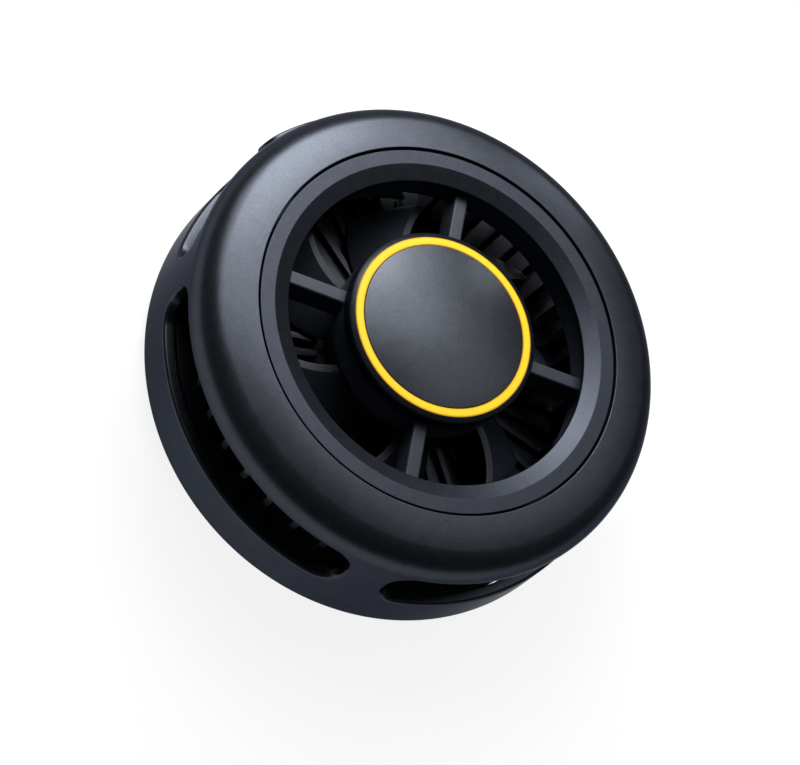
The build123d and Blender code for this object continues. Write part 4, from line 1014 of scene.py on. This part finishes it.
root = sink["floor"] - sink["finSunk"]
fullFin = [
    (sink["finStart"], root), (sink["finEnd"], root), (sink["finEnd"], sink["tallTop"]),
    (sink["tallStart"], sink["tallTop"]), (sink["tallStart"], sink["midTop"]),
    (sink["step"], sink["midTop"]), (sink["step"], sink["lowTop"]), (sink["finStart"], sink["lowTop"]),
]
lowFin = [
    (sink["finStart"], root), (sink["tallStart"], root),
    (sink["tallStart"], sink["lowTop"]), (sink["finStart"], sink["lowTop"]),
]
values = {
    "Count": sink["fins"],
    "First Azimuth": sink["firstFin"],
    "Board Half Width": sink["boardHalf"] * mm,
    "Board Radius": sink["step"] * mm,
    "Post Azimuth": post["azimuths"][0],
    "Post Circle": post["circle"] * mm,
    "Post Clearance": sink["postClearance"] * mm,
    "Post Stop": (post["circle"] - sink["stopShort"]) * mm,
}
finSets = []
for name, outline, boardSide in (("tallFins", fullFin, False), ("lowFins", lowFin, True)):
    mesh = bmesh.new()
    upright(mesh, outline, sink["finWidth"] / 2)
    fins = beveled(finished(name, mesh, "sink_aluminium"), sink["edge"])
    finSets.append(shaped(fins, finRow, "sink_aluminium", {**values, "Board Side": boardSide}))
place(merged("heatSink", [sinkBase, sinkExtras] + finSets), "housing", "heat_sink")
print("heat sink made")


# socket: drawn sleeve with a rounded mouth, tongue with its gold contacts


def capLoops(mesh, loops):
    # loops joined to a closed form, flat at both ends
    joinLoops(mesh, loops)
    mesh.faces.new(loops[0])
    mesh.faces.new(loops[-1])


sleeve = dict(half=2.89, round=1.58, sheet=0.3, backEdge=0.25)
back, front = (corner.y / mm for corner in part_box("socket_sleeve"))
mesh = bmesh.new()
loops = [
    obround(mesh, sleeve["half"], sleeve["round"] - sleeve["backEdge"], back),
    obround(mesh, sleeve["half"], sleeve["round"], back + sleeve["backEdge"]),
]
thick = sleeve["sheet"] / 2
for angle in (math.radians(180 * step / 8) for step in range(9)):
    inset, reach = thick * (1 - math.cos(angle)), front - thick + thick * math.sin(angle)
    loops.append(obround(mesh, sleeve["half"], sleeve["round"] - inset, reach))
loops.append(obround(mesh, sleeve["half"], sleeve["round"] - sleeve["sheet"], back + sleeve["sheet"]))
capLoops(mesh, loops)
place(finished("socketSleeve", mesh, "socket_steel"), "housing", "socket_sleeve")

tongue = dict(
    rootHalf=2.89, rootRound=1.25, rootLength=1.2, rootEdge=0.1, start=0.6, half=3.35, thick=0.7, edge=0.07,
)
back, front = (corner.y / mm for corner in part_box("socket_tongue"))
rootEnd, edge = back + tongue["rootLength"], tongue["rootEdge"]
mesh = bmesh.new()
loops = [
    obround(mesh, tongue["rootHalf"], tongue["rootRound"], back),
    obround(mesh, tongue["rootHalf"], tongue["rootRound"], rootEnd - edge),
    obround(mesh, tongue["rootHalf"], tongue["rootRound"] - edge, rootEnd),
]
capLoops(mesh, loops)
middle, rise, half = socketPad["height"], tongue["thick"] / 2, tongue["half"]
slab(mesh, (-half, back + tongue["start"], middle - rise), (half, front, middle + rise))
socketTongue = beveled(finished("socketTongue", mesh, "tongue_plastic"), tongue["edge"])
place(socketTongue, "housing", "socket_tongue")

contact = dict(count=12, pitch=0.5, width=0.26, length=3.4, proud=0.03, sunk=0.02, setBack=0.5)
mesh = bmesh.new()
left = -contact["pitch"] * (contact["count"] - 1) / 2
tip, half = front - contact["setBack"], contact["width"] / 2
for side in (-1, 1):
    face = middle + side * rise
    low, high = sorted((face - side * contact["sunk"], face + side * contact["proud"]))
    slab(mesh, (left - half, tip - contact["length"], low), (left + half, tip, high))
contacts = finished("socketContacts", mesh, "contact_metal")
values = {"Count": contact["count"], "Pitch": contact["pitch"] * mm}
smoothed(shaped(contacts, straightRow, "contact_metal", values), 32)
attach(contacts, "housing")
print("socket made")


# soft pieces inside: foam, seal, heat-conducting sheet and the wires

soft = dict(weldGap=0.002, flatAngle=1, sharpAngle=40)


def softCopy(name, node, rounding):
    # the node's own form with its loose triangles joined and its edges softened
    mesh = bmesh.new()
    mesh.from_mesh(frame["nodes"][node].data)
    bmesh.ops.remove_doubles(mesh, verts=mesh.verts, dist=soft["weldGap"] * mm)
    flat = math.radians(soft["flatAngle"])
    bmesh.ops.dissolve_limit(mesh, angle_limit=flat, verts=mesh.verts, edges=mesh.edges)
    piece = finished(name, mesh, slotOf[node], soft["sharpAngle"])
    place(beveled(piece, rounding, 3, soft["sharpAngle"]), "housing", node)


softCopy("foamFill", "insulation_foam", 0.25)
softCopy("moduleSeal", "module_seal", 0.15)
softCopy("thermalSheet", "thermal_sheet", 0.08)


def wire(name, node, routes, radius):
    # round wire on a smooth line through the housing
    curve = bpy.data.curves.new(name, "CURVE")
    curve.dimensions = "3D"
    curve.bevel_depth = radius * mm
    curve.bevel_resolution = 4
    curve.resolution_u = 10
    curve.use_fill_caps = True
    for points in routes:
        spline = curve.splines.new("NURBS")
        spline.points.add(len(points) - 1)
        for knot, point in zip(spline.points, points):
            knot.co = (*(Vector(point) * mm), 1)
        spline.use_endpoint_u = True
        spline.order_u = 3
    curve.materials.append(paints[slotOf[node]])
    line = linked(name, curve)
    data = bpy.data.meshes.new_from_object(line.evaluated_get(bpy.context.evaluated_depsgraph_get()))
    bpy.data.objects.remove(line)
    data.shade_smooth()
    place(linked(name, data), "housing", node)


pair = dict(side=1.0, start=14.99, end=28.9, height=4.75, top=10.2, radius=0.44)
pairBends = dict(straight=5, turn=1.6, lift=0.2, climb=1.8)
level, end, routes = pair["height"], pair["end"], []
for x in (-pair["side"], pair["side"]):
    route = [(x, pair["start"], level), (x, pair["start"] + pairBends["straight"], level)]
    route += [(x, end - pairBends["turn"], level), (x, end, level + pairBends["lift"])]
    route += [(x, end, level + pairBends["climb"]), (x, end, pair["top"])]
    routes.append(route)
wire("moduleWires", "module_wires", routes, pair["radius"])

lead = dict(
    azimuth=135, start=8.85, straight=16, circle=24.2, bulge=0.6, height=15.75, bottom=11.04,
    radius=0.34, endX=7.72, turn=1.6, firstTurn=1, lastTurn=2.5, dip=0.2, fall=1.4,
)
azimuth, circle, height = lead["azimuth"], lead["circle"], lead["height"]
endAzimuth = 90 + math.degrees(math.asin(lead["endX"] / circle))
route = [
    polar(lead["start"], azimuth, height),
    polar(lead["straight"], azimuth, height),
    polar(circle - lead["turn"], azimuth, height),
    polar(circle, azimuth - lead["firstTurn"], height),
    polar(circle + lead["bulge"], (azimuth + endAzimuth) / 2, height),
    polar(circle, endAzimuth + lead["lastTurn"], height),
    polar(circle, endAzimuth, height - lead["dip"]),
    polar(circle, endAzimuth, height - lead["fall"]),
    polar(circle, endAzimuth, lead["bottom"]),
]
wire("fanLead", "fan_cable", [route], lead["radius"])
print("soft pieces made")


# stage: floor, world, lamps and the camera

floor = dict(size=3000, drop=0.02, colour=(0.80, 0.80, 0.80), gloss=0.8, level=0.1)
floor.update(cameraWhite=0.87, keepShade=0.30)  # brightness and share of shade that the camera sees
mesh = bmesh.new()
half = floor["size"] / 2
signs = ((-1, -1), (1, -1), (1, 1), (-1, 1))
mesh.faces.new([mesh.verts.new(Vector((x * half, y * half, -floor["drop"])) * mm) for x, y in signs])
ground = meshObject("floor", mesh)
material, shader, node, calc = newMaterial("studioFloor")
ground.data.materials.append(material)
feed(shader, {"Base Color": (*floor["colour"], 1), "Roughness": floor["gloss"]})
feed(shader, {"Specular IOR Level": floor["level"]})
# the camera, gloss and glass see white with a share of the floor's shading
ray = node("ShaderNodeLightPath").outputs
mirrored = calc("MAXIMUM", ray["Is Glossy Ray"], ray["Is Transmission Ray"])
direct = calc("MAXIMUM", ray["Is Camera Ray"], mirrored)
white = node("ShaderNodeEmission", {"Color": (1, 1, 1, 1), "Strength": floor["cameraWhite"]})
dark = node("ShaderNodeBsdfTransparent", {"Color": (0, 0, 0, 1)})
dimmed = node("ShaderNodeMixShader", {0: floor["keepShade"], 1: dark.outputs[0], 2: shader.outputs[0]})
veil = node("ShaderNodeAddShader", {0: dimmed.outputs[0], 1: white.outputs[0]})
seen = node("ShaderNodeMixShader", {0: direct, 1: shader.outputs[0], 2: veil.outputs[0]})
feed(material.node_tree.nodes["Material Output"], {"Surface": seen.outputs[0]})

sky = dict(colour=(0.76, 0.86, 1.0), strength=0.075, backdropStrength=1.0)
world = bpy.data.worlds.new("studio")
bpy.context.scene.world = world
world.use_nodes = True
node, calc = partial(addNode, world.node_tree), partial(addCalc, world.node_tree)
lit = feed(world.node_tree.nodes["Background"], {"Color": (*sky["colour"], 1), "Strength": sky["strength"]})
# the camera sees a white backdrop above the floor's far edge
backdrop = node("ShaderNodeBackground", {"Color": (1, 1, 1, 1), "Strength": sky["backdropStrength"]})
ray = node("ShaderNodeLightPath").outputs
shown = calc("MAXIMUM", ray["Is Camera Ray"], ray["Is Transmission Ray"])
behind = node("ShaderNodeMixShader", {0: shown, 1: lit.outputs[0], 2: backdrop.outputs[0]})
feed(world.node_tree.nodes["World Output"], {"Surface": behind.outputs[0]})

# azimuth from +X, elevation, distance and size in millimetres, and the lamp's radiance
lampAim = 12
lamps = {
    "mainSoftbox": dict(azimuth=63, elevation=51, distance=140, width=135, tall=110, radiance=3.6),
    "softboxCore": dict(azimuth=62, elevation=44, distance=141, width=60, tall=60, radiance=8.5),
    "skyPanel": dict(azimuth=356, elevation=60, distance=400, width=200, tall=210, radiance=1.35),
    "sideStrip": dict(azimuth=15, elevation=33, distance=600, width=52, tall=44, radiance=22.0),
}
for name, lamp in lamps.items():
    light = bpy.data.lights.new(name, "AREA")
    light.shape = "RECTANGLE"
    light.size, light.size_y = lamp["width"] * mm, lamp["tall"] * mm
    light.energy = lamp["radiance"] * math.pi * light.size * light.size_y
    rise = math.radians(lamp["elevation"])
    away = Vector(polar(math.cos(rise), lamp["azimuth"], math.sin(rise)))
    stand = linked(name, light)
    stand.location = (away * lamp["distance"] + Vector((0, 0, lampAim))) * mm
    stand.rotation_mode = "QUATERNION"
    stand.rotation_quaternion = away.to_track_quat("Z", "Y")
    stand.visible_camera = False

# the photograph's view: the camera is rolled, so that the object leans
view = dict(azimuth=280.0, elevation=57.9, roll=50.367, place=(-94.108, -18.481, 156.552), lens=60.95)
turn, rise, roll = (math.radians(view[key]) for key in ("azimuth", "elevation", "roll"))
back = Vector((math.sin(turn) * math.cos(rise), -math.cos(turn) * math.cos(rise), math.sin(rise)))
level = Vector((math.cos(turn), math.sin(turn), 0))
right = level * math.cos(roll) + back.cross(level) * math.sin(roll)
camera = linked("camera", bpy.data.cameras.new("camera"))
camera.data.lens = view["lens"]
camera.data.sensor_width = 36
camera.data.clip_start, camera.data.clip_end = 0.01, 10
camera.rotation_mode = "QUATERNION"
camera.location = Vector(view["place"]) * mm
camera.rotation_quaternion = Matrix((right, back.cross(right), back)).transposed().to_quaternion()
bpy.context.scene.camera = camera
bpy.context.scene.view_settings.view_transform = "Standard"
print("stage set")
